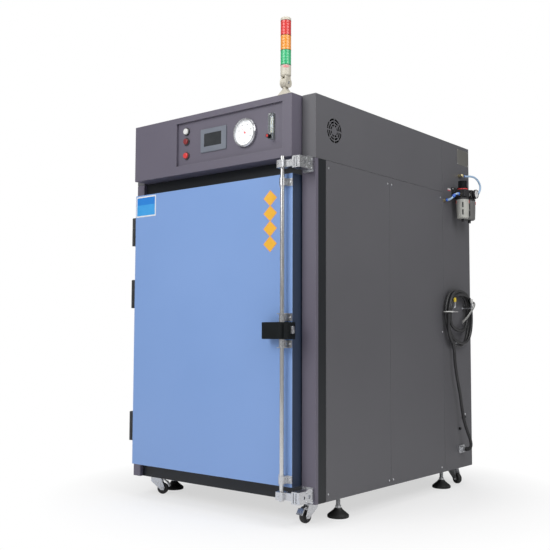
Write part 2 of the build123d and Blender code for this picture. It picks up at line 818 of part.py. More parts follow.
def control_box():
    """Control box shell and its sunk panel with all its openings."""
    x0, x1 = left + box_left, right - box_right
    y0, y1 = front - box_out, front + stile_depth
    z0 = top - box_h
    shell = tray(x0, x1, y0, y1, z0, top, "+y")
    w0, w1 = right - window[0], right - window[1]
    v0, v1 = base + window[2], base + window[3]
    shell -= block(w0, w1, y0 - 1, y0 + sheet + 1, v0, v1)
    panel = tray(w0, w1, y0, y0 + window_depth + plate_t, v0, v1, "-y", plate_t)
    y = y0 + window_depth
    panel -= block(right - hmi[0] + 6, right - hmi[1] - 6, y - 1, y + 5, base + hmi[2] + 6, base + hmi[3] - 6)
    panel -= along_y(right - gauge_x, y - 1, y + 5, base + gauge_z, gauge_r - 4)
    for z in button_zs:
        panel -= along_y(right - button_x, y - 1, y + 5, base + z, button_r + touch)
        collar = along_y(right - button_x, y - collar_out, y, base + z, collar_r)
        panel += collar - along_y(right - button_x, y - collar_out - 1, y + 1, base + z, button_r + touch)
    panel -= block(right - flow_x - flow_w / 2 - touch, right - flow_x + flow_w / 2 + touch, y - 1, y + 5,
                   base + flow_z - touch, base + flow_z + flow_h + touch)
    return Compound([shell, panel])


def panel_y():
    return front - box_out + window_depth


def touch_panel():
    """Operator panel with its bezel and sunk screen."""
    y = panel_y()
    x0, x1 = right - hmi[0], right - hmi[1]
    z0, z1 = base + hmi[2], base + hmi[3]
    bezel = block(x0, x1, y - hmi_out, y, z0, z1)
    bezel = fillet(bezel.edges().filter_by(Axis.Y), 5)
    bezel = chamfer(bezel.edges().group_by(Axis.Y)[0], 2)
    bezel += block(x0 + 6.3, x1 - 6.3, y, y + hmi_back, z0 + 6.3, z1 - 6.3)
    return bezel - block(right - screen[0], right - screen[1], y - hmi_out - 1, y - hmi_out + 1.5,
                         base + screen[2], base + screen[3])


def gauge_case():
    """Round pressure gauge: bezel, sunk dial face and body behind the panel."""
    pts = [(0, gauge_out - 9), (dial_r, gauge_out - 9), (dial_r + 2, gauge_out), (gauge_r - 3, gauge_out),
           (gauge_r, gauge_out - 4), (gauge_r, 0), (gauge_r - 4.3, 0), (gauge_r - 4.3, -gauge_back),
           (0, -gauge_back)]
    return Pos(right - gauge_x, panel_y(), base + gauge_z) * Rot(90, 0, 0) * turned(pts)


def flowmeter():
    """Clear flow tube block with its bore and end fittings."""
    y = panel_y()
    x = right - flow_x
    z0, z1 = base + flow_z, base + flow_z + flow_h
    body = block(x - flow_w / 2, x + flow_w / 2, y - flow_out, y + flow_back, z0, z1)
    body = fillet(body.edges().filter_by(Axis.Z), 2)
    bore = along_z(x, y - flow_out / 3, z0 + 26, z1 - 12, 4)
    socket = along_y(x, y - flow_out - 1, y - flow_out + 8, z0 + 10, 3 + run)
    return body - bore - socket


def flowmeter_knob():
    """Fluted needle-valve knob on its spindle."""
    x, y, z = right - flow_x, panel_y() - flow_out, base + flow_z + 10
    knob = extrude(Circle(knob_r), amount=knob_out)
    for i in range(10):
        knob -= Rot(0, 0, 36 * i) * Pos(knob_r + 0.6, 0, knob_out / 2 + 2) * Cylinder(1.6, knob_out)
    spindle = Pos(0, 0, -3.5) * Cylinder(3, 7.6)
    return Pos(x, y - touch, z) * Rot(90, 0, 0) * (knob + spindle)


def push_button(z):
    """Domed head with its stem, free to travel into the collar."""
    head = Cylinder(button_r, button_out + button_stem, align=(Align.CENTER, Align.CENTER, Align.MIN))
    head = Pos(0, 0, -button_stem) * head
    head = fillet(head.edges().group_by(Axis.Z)[-1], button_dome)
    return Pos(right - button_x, panel_y(), z) * Rot(90, 0, 0) * head


def tower_foot():
    """Flared foot with the fixed ear and pivot pin of the folding joint."""
    x, y = right - tower_x, front + tower_y
    z = top + pivot_z
    low = Pos(x, y, top) * Rectangle(foot_w, foot_d)
    high = Pos(x, y, top + pivot_z - knuckle_r - 3) * Rectangle(2 * ear_half, knuckle_r)
    flare = loft([Pos(0, 0, 5) * low, high])
    flare += extrude(low, amount=5)
    ear = along_x(x - ear_half, x + ear_half, y, z, knuckle_r)
    ear += block(x - ear_half, x + ear_half, y - knuckle_r / 2, y + knuckle_r / 2, z - knuckle_r - 4, z)
    pin = along_x(x - knuckle_half, x + knuckle_half, y, z, pin_r)
    return flare + ear + pin


def tower_base():
    """Moving fork and base tube of the tower, with the end cap on top as its own piece."""
    x, y = right - tower_x, front + tower_y
    z = top + pivot_z
    z1 = z + tower_base_z
    fork = []
    for s in (-1, 1):
        a, b = sorted((x + s * (ear_half + touch), x + s * knuckle_half))
        cheek = along_x(a, b, y, z, knuckle_r)
        cheek += block(a, b, y - knuckle_r * 0.7, y + knuckle_r * 0.7, z, z1 + 1)
        cheek -= along_x(a - 1, b + 1, y, z, pin_r + run)
        fork.append(cheek)
    tube_body = turned([(0, 0), (tower_r - 4, 0), (tower_r, 5), (tower_r, tower_base_h - 3),
                        (tower_r - 1, tower_base_h), (0, tower_base_h)])
    body = Pos(x, y, z1) * tube_body + fork
    cap_z = z1 + tower_base_h + 3 * lens_h
    cap = turned([(0, 0), (tower_r, 0), (tower_r, cap_h - 5), (tower_r - 5, cap_h), (0, cap_h)])
    return Compound([body, Pos(x, y, cap_z) * cap])


def lens(level):
    """Ribbed hollow lens of one light."""
    x, y = right - tower_x, front + tower_y
    z = top + pivot_z + tower_base_z + tower_base_h + level * lens_h
    pts = [(0, 0), (tower_r - 1, 0)]
    rib = lens_h / lens_ribs
    for i in range(lens_ribs):
        pts += [(tower_r - 1, i * rib + 1.2), (tower_r - 0.2, i * rib + 2.4),
                (tower_r - 0.2, (i + 1) * rib - 1.2)]
    hollow_r = tower_r - 1 - lens_wall
    pts += [(tower_r - 1, lens_h), (0, lens_h), (0, lens_h - lens_wall),
            (hollow_r, lens_h - lens_wall), (hollow_r, lens_wall), (0, lens_wall)]
    return Pos(x, y, z) * turned(pts)


def local(x, y, yaw):
    """Caster frame at a swivel centre, its X along the trail."""
    return Pos(x, y, 0) * Rot(0, 0, yaw)


def caster_fork(brake):
    """Race, crown and two cheeks with the axle across them."""
    race = Pos(0, 0, crown_z - race_h / 2) * Cylinder(race_r, race_h)
    race -= Pos(0, 0, crown_z - race_h / 2) * Cylinder(axle_r + 1 + run, race_h + 2)
    z1 = crown_z - race_h
    half = cheek_gap / 2
    crown = Pos(4, 0, z1 - cheek_t / 2) * Box(2 * race_r + 4, cheek_gap + 2 * cheek_t, cheek_t)
    side = make_face(Polyline((-race_r + 3, z1), (race_r + 6, z1), (trail + 9, axle_z + 6),
                              (trail + 7, axle_z - 7), (trail - 7, axle_z - 7), (-race_r + 3, z1 - 14),
                              close=True))
    side = fillet(side.vertices(), 4)
    fork = race + crown
    for s in (-1, 1):
        cheek = extrude(Plane.XZ * side, amount=cheek_t / 2, both=True)
        fork += Pos(0, s * (half + cheek_t / 2), 0) * cheek
    fork += Pos(trail, 0, axle_z) * Rot(90, 0, 0) * Cylinder(axle_r, cheek_gap + 2 * cheek_t + 3)
    if brake:
        fork += Pos(pedal_u, 0, pedal_z) * Rot(90, 0, 0) * Cylinder(pedal_pin_r, cheek_gap + 2 * cheek_t)
    return fork


def brake_pedal():
    """Stamped pedal on its cross pin, with a broad curled tread."""
    x, z = pedal_u, pedal_z
    strap = Pos(x, 0, z) * Rot(90, 0, 0) * Cylinder(pedal_knuckle_r, pedal_w)
    outline = make_face(Polyline((x, z + 3), (x + 20, z + 5), (x + 34, z - 4), (x + 45, z - 24),
                                 (x + 42.5, z - 25), (x + 32, z - 6), (x + 19, z + 2.5), (x, z + 0.5),
                                 close=True))
    strap += extrude(Plane.XZ * outline, amount=pedal_w / 2, both=True)
    tread = make_face(Polyline((x + 30, z - 2), (x + 34, z - 4), (x + 45, z - 24), (x + 42.5, z - 25),
                               (x + 32, z - 6), close=True))
    strap += extrude(Plane.XZ * tread, amount=pedal_w * 0.85, both=True)
    return strap - Pos(x, 0, z) * Rot(90, 0, 0) * Cylinder(pedal_pin_r + run, pedal_w * 2)


def caster_wheel():
    """Rubber-tyred wheel with its bore on the axle."""
    h = wheel_wide / 2
    bore = axle_r + run
    pts = [(bore, -h), (9, -h), (10, -h + 3), (17, -h + 3), (18, -h + 1), (wheel_rad - 2, -h + 1),
           (wheel_rad, -h + 5), (wheel_rad, h - 5), (wheel_rad - 2, h - 1), (18, h - 1), (17, h - 3),
           (10, h - 3), (9, h), (bore, h)]
    return Pos(trail, 0, axle_z) * Rot(90, 0, 0) * turned(pts)


def levelling_foot(x, y):
    """Rubber pad and threaded stem with its nut."""
    h = foot_cone_h
    pad = turned([(0, 0), (foot_r - 2, 0), (foot_r, 2), (foot_r, 10), (foot_r - 4, 14), (20, h - 8),
                  (14, h), (0, h)])
    stem = extrude(RegularPolygon(nut_r, 6), amount=9)
    stem = Pos(0, 0, h) * stem
    stem += Pos(0, 0, (h + floor_gap + tube) / 2) * Cylinder(stem_r, floor_gap + tube - h)
    return Pos(x, y, 0) * Compound([pad, stem])


def frl_unit(y, bonnet):
    """One body of the filter set with its neck ring."""
    z0, z1 = base + frl_body_z, base + frl_ring_z
    x = right + frl_x
    r = frl_r - 3
    body = Pos(x, front + y, z0) * turned([(0, 0), (frl_r, 0), (frl_r, 8), (r, 12), (r, 14), (0, 14)])
    square = Pos(x, front + y, z0 + 14) * fillet(Rectangle(2 * r, 2 * r).vertices(), 5)
    body += extrude(square, amount=34)
    neck_r = r - 4 if bonnet else r - 7
    return body + along_z(x, front + y, z0 + 48, z1, neck_r)


def bowl_guard(y):
    """Bowl guard with its sight slots and drain stub."""
    h = frl_body_z - frl_guard_z
    r = frl_r
    guard = turned([(0, -frl_drain), (7, -frl_drain), (7, 0), (r - 7, 0), (r - 2, 5), (r, h * 0.55),
                    (r, h), (0, h)])
    for turn in (-62, 118):
        for z in (h * 0.33, h * 0.71):
            guard -= Rot(0, 0, turn) * Pos(r, 0, z) * Box(12, 7, 26)
    return Pos(right + frl_x, front + y, base + frl_guard_z) * guard


def filter_set():
    """Filter regulator, lubricator, bowl guards, pressure gauge and wall bracket."""
    y0, y1 = frl_y, frl_y + frl_pitch
    zc = base + frl_body_z + 26
    bodies = frl_unit(y0, True) + frl_unit(y1, False)
    bodies += block(right + frl_x - 16, right + frl_x + 16, front + y0, front + y1, zc - 10, zc + 18)
    bracket = block(right, right + 3, front + y0 - 16, front + y1 + 16, zc - 14, zc + 40)
    r = frl_r - 3
    bracket += block(right + 3, right + frl_x - r, front + y0 - 12, front + y0 + 12, zc - 6, zc + 10)
    bracket += block(right + 3, right + frl_x - r, front + y1 - 12, front + y1 + 12, zc - 6, zc + 10)
    rim = frl_gauge_r
    face = frl_gauge_h + 3
    gauge = turned([(0, 0), (5, 0), (5, 3), (rim - 1, 3), (rim, 4), (rim, face), (rim - 2, face),
                    (rim - 2.5, face - 2), (0, face - 2)])
    gauge = Pos(right + frl_x + r, front + y1, zc + 8) * Rot(0, 90, 0) * gauge
    return Compound([bodies, bracket, gauge, bowl_guard(y0), bowl_guard(y1)])


def regulator_knob():
    """Ribbed pressure knob above the filter regulator."""
    r = frl_r - 9
    z0 = base + frl_ring_z + touch
    h = frl_knob_z - frl_ring_z
    knob = Cylinder(r, h, align=(Align.CENTER, Align.CENTER, Align.MIN))
    for i in range(14):
        knob -= Rot(0, 0, 360 / 14 * i) * Pos(r + 0.8, 0, h / 2 + 6) * Cylinder(2.2, h)
    knob = knob + Cylinder(r + 4, 5, align=(Align.CENTER, Align.CENTER, Align.MIN))
    return Pos(right + frl_x, front + frl_y, z0) * knob


def air_fittings():
    """Push-in fittings of the two hoses, on the wall and on the filter set."""
    uy, uz = front + upper_port[0], base + upper_port[1]
    ly, lz = front + lower_port[0], base + lower_port[1]
    fx, fz = right + frl_x, base + port_z
    r = frl_r - 3
    y0, y1 = front + frl_y - r, front + frl_y + frl_pitch + r
    elbow = along_x(right, right + elbow_out, uy, uz, fit_r)
    elbow += Pos(right + elbow_out, uy, uz) * Sphere(fit_r)
    elbow += along_y(right + elbow_out, uy, uy + fit_len, uz, fit_r - 1)
    wall = along_x(right, right + fit_len, ly, lz, fit_r - 1)
    return Compound([elbow, wall, along_y(fx, y0 - fit_len, y0, fz, fit_r - 1),
                     along_y(fx, y1, y1 + fit_len, fz, fit_r - 1)])


def routed_tube(points, r, name):
    """A tube along straight runs joined by tangent arcs as large as the runs allow."""
    pts = [Vector(*p) for p in points]
    radii = []
    for a, b, c in zip(pts, pts[1:], pts[2:]):
        turn = radians((b - a).get_angle(c - b))
        radii.append(0.45 * min((b - a).length, (c - b).length) / tan(turn / 2))
    path = FilletPolyline(*pts, radius=radii)
    solid = sweep(Plane(pts[0], z_dir=(pts[1] - pts[0])) * Circle(r), path)
    print(name, "length", round(path.length, 1), "radii", [round(v) for v in radii],
          "volume share", round(solid.volume / (pi * r * r * path.length), 4))
    return solid


def outside(points, y0, z0):
    """Route points in the frame of the part."""
    return [(right + x, front + y0 + y, base + z0 + z) for x, y, z in points]


def cable_coil():
    """Outer shape of the coil that hangs on the two hooks, its turns fanned out below."""
    outer = SlotOverall(coil_h, coil_w)
    hole = Pos(-coil_hole_up, 0) * Rot(0, 0, 90) * SlotOverall(coil_hole_w, coil_hole_h)
    ring = extrude(outer - hole, amount=coil_x1 - coil_x0)
    ring = fillet(ring.edges().group_by(Axis.Z)[0] + ring.edges().group_by(Axis.Z)[-1], cable_r)
    return Pos(right + coil_x0, front + coil_y, base + coil_z) * Rot(0, 90, 0) * ring


def hook(y):
    """Peg hook with an upturned end."""
    z = base + hook_z
    path = FilletPolyline((right, y, z), (right + hook_out, y, z), (right + hook_out, y, z + hook_up),
                          radius=8)
    peg = sweep(Plane((right, y, z), z_dir=(1, 0, 0)) * Circle(hook_r), path)
    return peg + along_x(right, right + 4, y, z, 11)


def cable_holders():
    """The two hooks and the cable gland in its block."""
    y, z = front + gland_y, base + gland_z
    gland = block(right, right + 8, y - 28, y + 28, z - 18, z + 18)
    gland = fillet(gland.edges().filter_by(Axis.X), 4)
    gland += Pos(right + 8, y, z) * Rot(0, 90, 0) * extrude(RegularPolygon(15, 6), amount=9)
    gland += along_x(right + 17, right + 28, y, z, 11)
    gland -= along_x(right + 20, right + 30, y, z, cable_r + touch)
    return Compound([hook(front + coil_y + h) for h in (-hook_side, hook_side)] + [gland])


def save(shape, node):
    export_step(shape, "parts/" + node + ".step")


def fixed_pieces():
    save(cabinet_frame(), "cabinet_frame")
    save(side_panels(left, -1), "left_side_panels")
    save(side_panels(right, 1, louvre=True), "right_side_panels")
    save(roof_panel(), "roof_panel")
    save(rear_panel(), "rear_panel")
    save(front_frame(), "front_frame")
    save(chamber_liner(), "chamber_liner")
    save(insulation(), "insulation")
    save(air_ducts(), "air_ducts")
    save(heater_elements(), "heater_elements")
    save(fan_motor(), "fan_motor")
    save(door_gasket(), "door_gasket")
    save(Compound([hinge_frame_leaf(base + z) for z in hinge_zs]), "hinge_frame_leaves")
    save(Compound([keeper(base + z) for z in cam_zs]), "lock_keepers")
    save(control_box(), "control_box")
    save(touch_panel(), "touch_panel")
    save(gauge_case(), "gauge_case")
    save(flowmeter(), "flowmeter")
    save(tower_foot(), "tower_foot")
    save(filter_set(), "filter_set")
    save(air_fittings(), "air_fittings")
    save(routed_tube(outside(hose_up_points, frl_y, frl_body_z), hose_r, "upper hose"), "hose_upper")
    save(routed_tube(outside(hose_low_points, frl_y, frl_body_z), hose_r, "lower hose"), "hose_lower")
    save(routed_tube(outside(cable_points, gland_y, gland_z), cable_r, "cable"), "cable_tube")
    save(cable_coil(), "cable_coil")
    save(cable_holders(), "cable_holders")


def door_pieces():
    save(door_shell(), "door_shell")
    save(door_inner_panel(), "door_inner_panel")
    save(Compound([hinge_door_leaf(base + z) for z in hinge_zs]), "hinge_door_leaves")
    save(lock_brackets(), "lock_brackets")
    save(handle_stop(), "handle_stop")
    save(lock_rod(), "lock_rod")
    save(lock_cams(), "lock_cams")
    save(handle(), "handle")


def small_moving_pieces():
    save(fan_impeller(), "fan_impeller")
    for name, z in zip(("shelf_lower", "shelf_upper"), shelf_levels()):
        save(shelf(z), name)
    save(tower_base(), "tower_base")
    for level, colour in enumerate(("green", "orange", "red")):
        save(lens(level), "lens_" + colour)
    for name, z in zip(("button_bright_red", "button_dark_red", "button_white"), button_zs):
        save(push_button(base + z), name)
    save(flowmeter_knob(), "flowmeter_knob")
    save(regulator_knob(), "regulator_knob")


def running_gear():
    for corner, (x, y) in caster_spots().items():
        brake = corner.startswith("front")
        place = local(x, y, yaws[corner])
        save(place * caster_fork(brake), "caster_fork_" + corner)
        save(place * caster_wheel(), "caster_wheel_" + corner)
        if brake:
            save(place * brake_pedal(), "brake_pedal_" + corner)
    for corner, (x, y) in foot_spots().items():
        save(levelling_foot(x, y), "levelling_foot_" + corner)


fixed_pieces()
door_pieces()
small_moving_pieces()
running_gear()
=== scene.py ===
import bpy
import bmesh
import json
from math import cos, pi, radians, sin
from mathutils import Euler, Matrix, Vector


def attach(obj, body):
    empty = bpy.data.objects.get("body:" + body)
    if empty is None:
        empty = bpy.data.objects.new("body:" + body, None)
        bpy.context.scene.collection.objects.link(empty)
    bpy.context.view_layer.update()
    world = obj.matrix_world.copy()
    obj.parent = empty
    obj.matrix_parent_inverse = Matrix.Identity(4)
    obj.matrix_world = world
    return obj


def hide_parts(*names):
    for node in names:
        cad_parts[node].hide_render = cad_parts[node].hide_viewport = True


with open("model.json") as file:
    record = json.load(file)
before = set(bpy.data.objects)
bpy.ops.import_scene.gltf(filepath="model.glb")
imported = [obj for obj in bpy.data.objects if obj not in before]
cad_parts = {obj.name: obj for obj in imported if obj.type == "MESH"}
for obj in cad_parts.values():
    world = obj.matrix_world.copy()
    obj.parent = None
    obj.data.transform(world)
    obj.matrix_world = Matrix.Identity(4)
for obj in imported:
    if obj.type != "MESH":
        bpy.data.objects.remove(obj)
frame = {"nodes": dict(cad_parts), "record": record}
scene = bpy.context.scene
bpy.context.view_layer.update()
nodes = frame["nodes"]
print("frame loaded,", len(nodes), "CAD nodes")

# everything below is in mm from the cabinet's right front lower corner:
# x out of the right wall, y towards the back, z up
cabinet = dict(right=476, front=-603.75, base=86, width=1045, depth=1309, height=1600)
doorFace = -53.7
panelFace = -52.2
rodX = -103.5
casterAt = {
    "front_left": (-973, 72, 37), "front_right": (-72, 72, -102),
    "rear_left": (-973, 1237, 160), "rear_right": (-72, 1237, -21),
}
footAt = {
    "front_left": (-998.5, 214), "front_right": (-46.5, 214),
    "rear_left": (-998.5, 1075), "rear_right": (-46.5, 1075),
}


def spot(x, y, z):
    return Vector((cabinet["right"] + x, cabinet["front"] + y, cabinet["base"] + z)) / 1000


# camera: solved from the photograph, so it is set once and left alone
view = dict(lens=54.838, x=1946.1, y=-2602.9, z=650.2, yaw=39.5687, pitch=4.0204, roll=0.2119)


def addCamera():
    bpy.ops.object.camera_add(location=spot(view["x"], view["y"], view["z"]))
    camera = bpy.context.object
    camera.name = "photoCamera"
    camera.data.lens = view["lens"]
    camera.data.sensor_width = 36
    camera.data.clip_end = 60
    turn = Euler((radians(90 + view["pitch"]), 0, radians(view["yaw"]))).to_matrix()
    turn = turn @ Matrix.Rotation(radians(view["roll"]), 3, "Z")
    camera.rotation_euler = turn.to_euler()
    scene.camera = camera


# small helpers that do what the hand does: pick, push, settle
sharpAngle = radians(32)
axes = {"x": Vector((1, 0, 0)), "y": Vector((0, 1, 0)), "z": Vector((0, 0, 1))}


def pickOnly(piece):
    bpy.ops.object.select_all(action="DESELECT")
    piece.select_set(True)
    bpy.context.view_layer.objects.active = piece


def settle(piece, name):
    pickOnly(piece)
    bpy.ops.object.transform_apply()
    piece.name = piece.data.name = name
    return piece


def editMode(on):
    bpy.ops.object.mode_set(mode="EDIT" if on else "OBJECT")


def pickFaces(piece, test):
    bpy.ops.mesh.select_all(action="DESELECT")
    bpy.ops.mesh.select_mode(type="FACE")
    mesh = bmesh.from_edit_mesh(piece.data)
    for face in mesh.faces:
        if test(face):
            face.select_set(True)
    bmesh.update_edit_mesh(piece.data)


def applyModifier(piece, kind, **values):
    pickOnly(piece)
    modifier = piece.modifiers.new(kind.title(), kind)
    for key, value in values.items():
        setattr(modifier, key, value)
    bpy.ops.object.modifier_apply(modifier=modifier.name)
    return piece


def block(name, low, high, rounded=0.0):
    a, b = spot(*low), spot(*high)
    bpy.ops.mesh.primitive_cube_add(size=1, location=(a + b) / 2)
    piece = bpy.context.object
    piece.scale = b - a
    settle(piece, name)
    if rounded:
        applyModifier(piece, "BEVEL", width=rounded / 1000, segments=2, limit_method="ANGLE",
                      angle_limit=radians(35))
    return piece


def pushFaces(piece, direction, inset, depth):
    # insets the faces that look one way and pushes them in or out
    pickOnly(piece)
    editMode(True)
    want = Vector(direction)
    pickFaces(piece, lambda face: face.normal.dot(want) > 0.95)
    bpy.ops.mesh.inset(thickness=inset / 1000, depth=0)
    bpy.ops.transform.translate(value=want * depth / 1000)
    editMode(False)
    return piece


def turned(name, at, axis, rings, sides=32, hollow=False):
    # a disc is pulled up ring by ring, (radius, height) in mm, along an axis through at
    bpy.ops.mesh.primitive_circle_add(vertices=sides, radius=rings[0][0] / 1000,
                                      fill_type="NOTHING" if hollow else "NGON")
    piece = bpy.context.object
    editMode(True)
    bpy.ops.mesh.select_mode(type="VERT")
    bpy.ops.mesh.select_all(action="SELECT")
    if rings[0][1]:
        bpy.ops.transform.translate(value=(0, 0, rings[0][1] / 1000))
    for (r0, h0), (r1, h1) in zip(rings, rings[1:]):
        bpy.ops.mesh.extrude_region_move(TRANSFORM_OT_translate={"value": (0, 0, (h1 - h0) / 1000)})
        bpy.ops.transform.resize(value=(r1 / r0, r1 / r0, 1), center_override=(0, 0, h1 / 1000))
    bpy.ops.mesh.select_all(action="SELECT")
    bpy.ops.mesh.remove_doubles(threshold=0.000002)
    bpy.ops.mesh.normals_make_consistent(inside=False)
    editMode(False)
    way = axes[axis[-1]] * (-1 if axis[0] == "-" else 1)
    piece.rotation_mode = "QUATERNION"
    piece.rotation_quaternion = way.to_track_quat("Z", "Y")
    piece.location = spot(*at) if at else (0, 0, 0)
    return smooth(settle(piece, name))


def smooth(piece):
    pickOnly(piece)
    bpy.ops.object.shade_smooth_by_angle(angle=sharpAngle)
    return piece


def joinAll(name, pieces):
    first = pieces[0]
    pickOnly(first)
    for piece in pieces:
        piece.select_set(True)
    bpy.ops.object.join()
    first.name = first.data.name = name
    return first


def facing(normal):
    # turns what was modelled along +z, at the origin, to look along another axis
    return Vector(normal).to_track_quat("Z", "Y").to_matrix().to_4x4()


def about(axis, turn):
    return Matrix.Rotation(turn, 4, axis)


def shifted(at, turn=Matrix()):
    return Matrix.Translation(spot(*at)) @ turn


def either(middle, half):
    return (middle - half, middle + half)


def grid(xs, ys, zs):
    return [(x, y, z) for x in xs for y in ys for z in zs]


def chip(size, rounded=0.0, middle=None):
    # a small block whose middle, or another place in it, lies at the origin
    piece = block("pattern", (0.0, 0.0, 0.0), size, rounded)
    piece.data.transform(Matrix.Translation(-spot(*(middle or [s / 2 for s in size]))))
    return piece


def copiesAt(pattern, name, matrices):
    # the pattern is modelled at the origin, and goes once its copies are made
    made = []
    for matrix in matrices:
        twin = pattern.copy()
        twin.data = pattern.data.copy()
        twin.data.transform(matrix)
        scene.collection.objects.link(twin)
        made.append(twin)
    bpy.data.objects.remove(pattern)
    return joinAll(name, made)


def dress(piece, finish, body="cabinet"):
    piece.data.materials.clear()
    piece.data.materials.append(finishes[finish])
    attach(piece, body)
    return piece


class Tree:
    # a node tree, with the steps that the shared marks and the finishes repeat
    def __init__(self, tree):
        self.tree = tree
        self.link = tree.links.new

    def feed(self, socket, value):
        # a value is another node's output or a constant
        if isinstance(value, bpy.types.NodeSocket):
            self.link(value, socket)
        else:
            socket.default_value = value

    def fill(self, node, values):
        for key, value in values.items():
            self.feed(node.inputs[key.replace("_", " ")], value)
        return node

    def add(self, kind, **values):
        return self.fill(self.tree.nodes.new("ShaderNode" + kind), values)

    def where(self):
        return self.add("TexCoord").outputs["Object"]

    def noise(self, scale, **values):
        return self.add("TexNoise", Vector=self.where(), Scale=scale, **values).outputs["Fac"]

    def maths(self, operation, *values, kind="Math"):
        node = self.add(kind)
        node.operation = operation
        for socket, value in zip(node.inputs, values):
            self.feed(socket, value)
        return node.outputs

    def product(self, a, b):
        return self.maths("MULTIPLY", a, b)["Value"]

    def ranged(self, value, low, high, start=0.3, end=0.7):
        node = self.add("MapRange", Value=value, From_Min=start, From_Max=end, To_Min=low, To_Max=high)
        return node.outputs["Result"]

    def mixed(self, factor, a, b):
        node = self.add("Mix")
        node.data_type = "RGBA"
        for index, value in ((0, factor), (6, a), (7, b)):
            self.feed(node.inputs[index], (*value, 1) if isinstance(value, tuple) else value)
        return node.outputs[2]

    def shaderChoice(self, factor, first, second, socket):
        node = self.add("MixShader", Fac=factor)
        self.link(first, node.inputs[1])
        self.link(second, node.inputs[2])
        self.link(node.outputs["Shader"], socket)


class Marks(Tree):
    # a node group that several finishes share
    def __init__(self, name, **inputs):
        super().__init__(bpy.data.node_groups.new(name, "ShaderNodeTree"))
        for key, value in inputs.items():
            kind = "NodeSocketVector" if isinstance(value, tuple) else "NodeSocketFloat"
            label = key.replace("_", " ")
            self.socket(label, "INPUT", kind).default_value = value
        self.given = self.tree.nodes.new("NodeGroupInput").outputs

    def socket(self, label, way, kind="NodeSocketFloat"):
        return self.tree.interface.new_socket(name=label, in_out=way, socket_type=kind)

    def give(self, **results):
        for label in results:
            self.socket(label, "OUTPUT")
        self.fill(self.tree.nodes.new("NodeGroupOutput"), results)
        return self.tree


def coatMarks():
    # powder coat: a fine orange peel, and a slow change of tone from sheet to sheet
    marks = Marks("powderCoat", Peel_Scale=900.0, Cloud_Scale=2.0)
    return marks.give(Height=marks.noise(marks.given["Peel Scale"], Detail=1.5),
                      Tone=marks.noise(marks.given["Cloud Scale"], Detail=4.0))


def edgeMarks():
    # worn edges: where the rounded normal leaves the flat one, broken up by noise
    marks = Marks("edgeWear", Break_Scale=60.0, Amount=0.6)
    bevel = marks.add("Bevel", Radius=0.0016)
    bevel.samples = 4
    flat = marks.add("NewGeometry").outputs["Normal"]
    dot = marks.maths("DOT_PRODUCT", bevel.outputs["Normal"], flat, kind="VectorMath")["Value"]
    worn = marks.product(marks.ranged(dot, 0.0, 1.0, 0.99, 0.86), marks.noise(marks.given["Break Scale"]))
    return marks.give(Mask=marks.product(worn, marks.given["Amount"]))


def brushMarks():
    # brushed or drawn metal: noise stretched along one way
    marks = Marks("brushedLines", Stretch=(900.0, 900.0, 12.0))
    scaled = marks.maths("MULTIPLY", marks.where(), marks.given["Stretch"], kind="VectorMath")["Vector"]
    lines = marks.add("TexNoise", Vector=scaled, Scale=1.0)
    return marks.give(Height=lines.outputs["Fac"], Tone=marks.noise(14.0))


def zincMarks():
    # zinc plate: small cloudy crystals
    marks = Marks("zincBloom", Scale=180.0)
    cells = marks.add("TexVoronoi", Vector=marks.where(), Scale=marks.given["Scale"]).outputs["Distance"]
    return marks.give(Height=cells, Tone=marks.product(cells, marks.noise(35.0)))


def mouldMarks():
    # moulded plastic and rubber: a fine spark-eroded grain with a little rubbed shine
    marks = Marks("mouldGrain", Scale=1400.0)
    return marks.give(Height=marks.noise(marks.given["Scale"], Detail=3.0), Tone=marks.noise(22.0))


def dustMarks():
    # dust lies on what looks up, thin and patchy
    marks = Marks("dustFilm", Amount=0.25)
    parts = marks.add("SeparateXYZ", Vector=marks.add("NewGeometry").outputs["Normal"])
    film = marks.product(marks.ranged(parts.outputs["Z"], 0.0, 1.0, 0.3, 1.0), marks.noise(9.0, Detail=6.0))
    return marks.give(Mask=marks.product(film, marks.given["Amount"]))


groups = dict(coat=coatMarks(), edge=edgeMarks(), brush=brushMarks(), zinc=zincMarks(), mould=mouldMarks(),
              dust=dustMarks())


class Look(Tree):
    # one material, from the shared marks to its shader
    def __init__(self, name):
        self.material = bpy.data.materials.new(name)
        self.material.use_nodes = True
        super().__init__(self.material.node_tree)
        self.shader = self.tree.nodes["Principled BSDF"]
        self.surface = self.tree.nodes["Material Output"].inputs["Surface"]

    def marks(self, which, **values):
        node = self.add("Group")
        node.node_tree = groups[which]
        return self.fill(node, values).outputs

    def shade(self, **values):
        self.fill(self.shader, values)

    def over(self, base, which, amount, colour):
        return self.mixed(self.marks(which, Amount=amount)["Mask"], base, colour)

    def finish(self, marks, strength, distance, **values):
        # the last step: the shader's values, and a bump by the marks' height
        node = self.add("Bump", Strength=strength, Distance=distance, Height=marks["Height"])
        self.shade(Normal=node.outputs["Normal"], **values)
        return self.material

    def beyond(self, axis, edge, soft=0.0004):
        # 0 before a place on one axis, 1 after it
        parts = self.add("SeparateXYZ", Vector=self.where())
        return self.ranged(parts.outputs[axis.upper()], 0.0, 1.0, edge - soft, edge + soft)

    def letLightThrough(self):
        # a clear piece casts no dark shadow on what stands behind it
        self.shaderChoice(self.add("LightPath").outputs["Is Shadow Ray"], self.shader.outputs["BSDF"],
                          self.add("BsdfTransparent").outputs["BSDF"], self.surface)


def lighter(colour, share):
    return tuple(min(1.0, c + (1 - c) * share) for c in colour)


def darker(colour, share):
    return tuple(c * (1 - share) for c in colour)


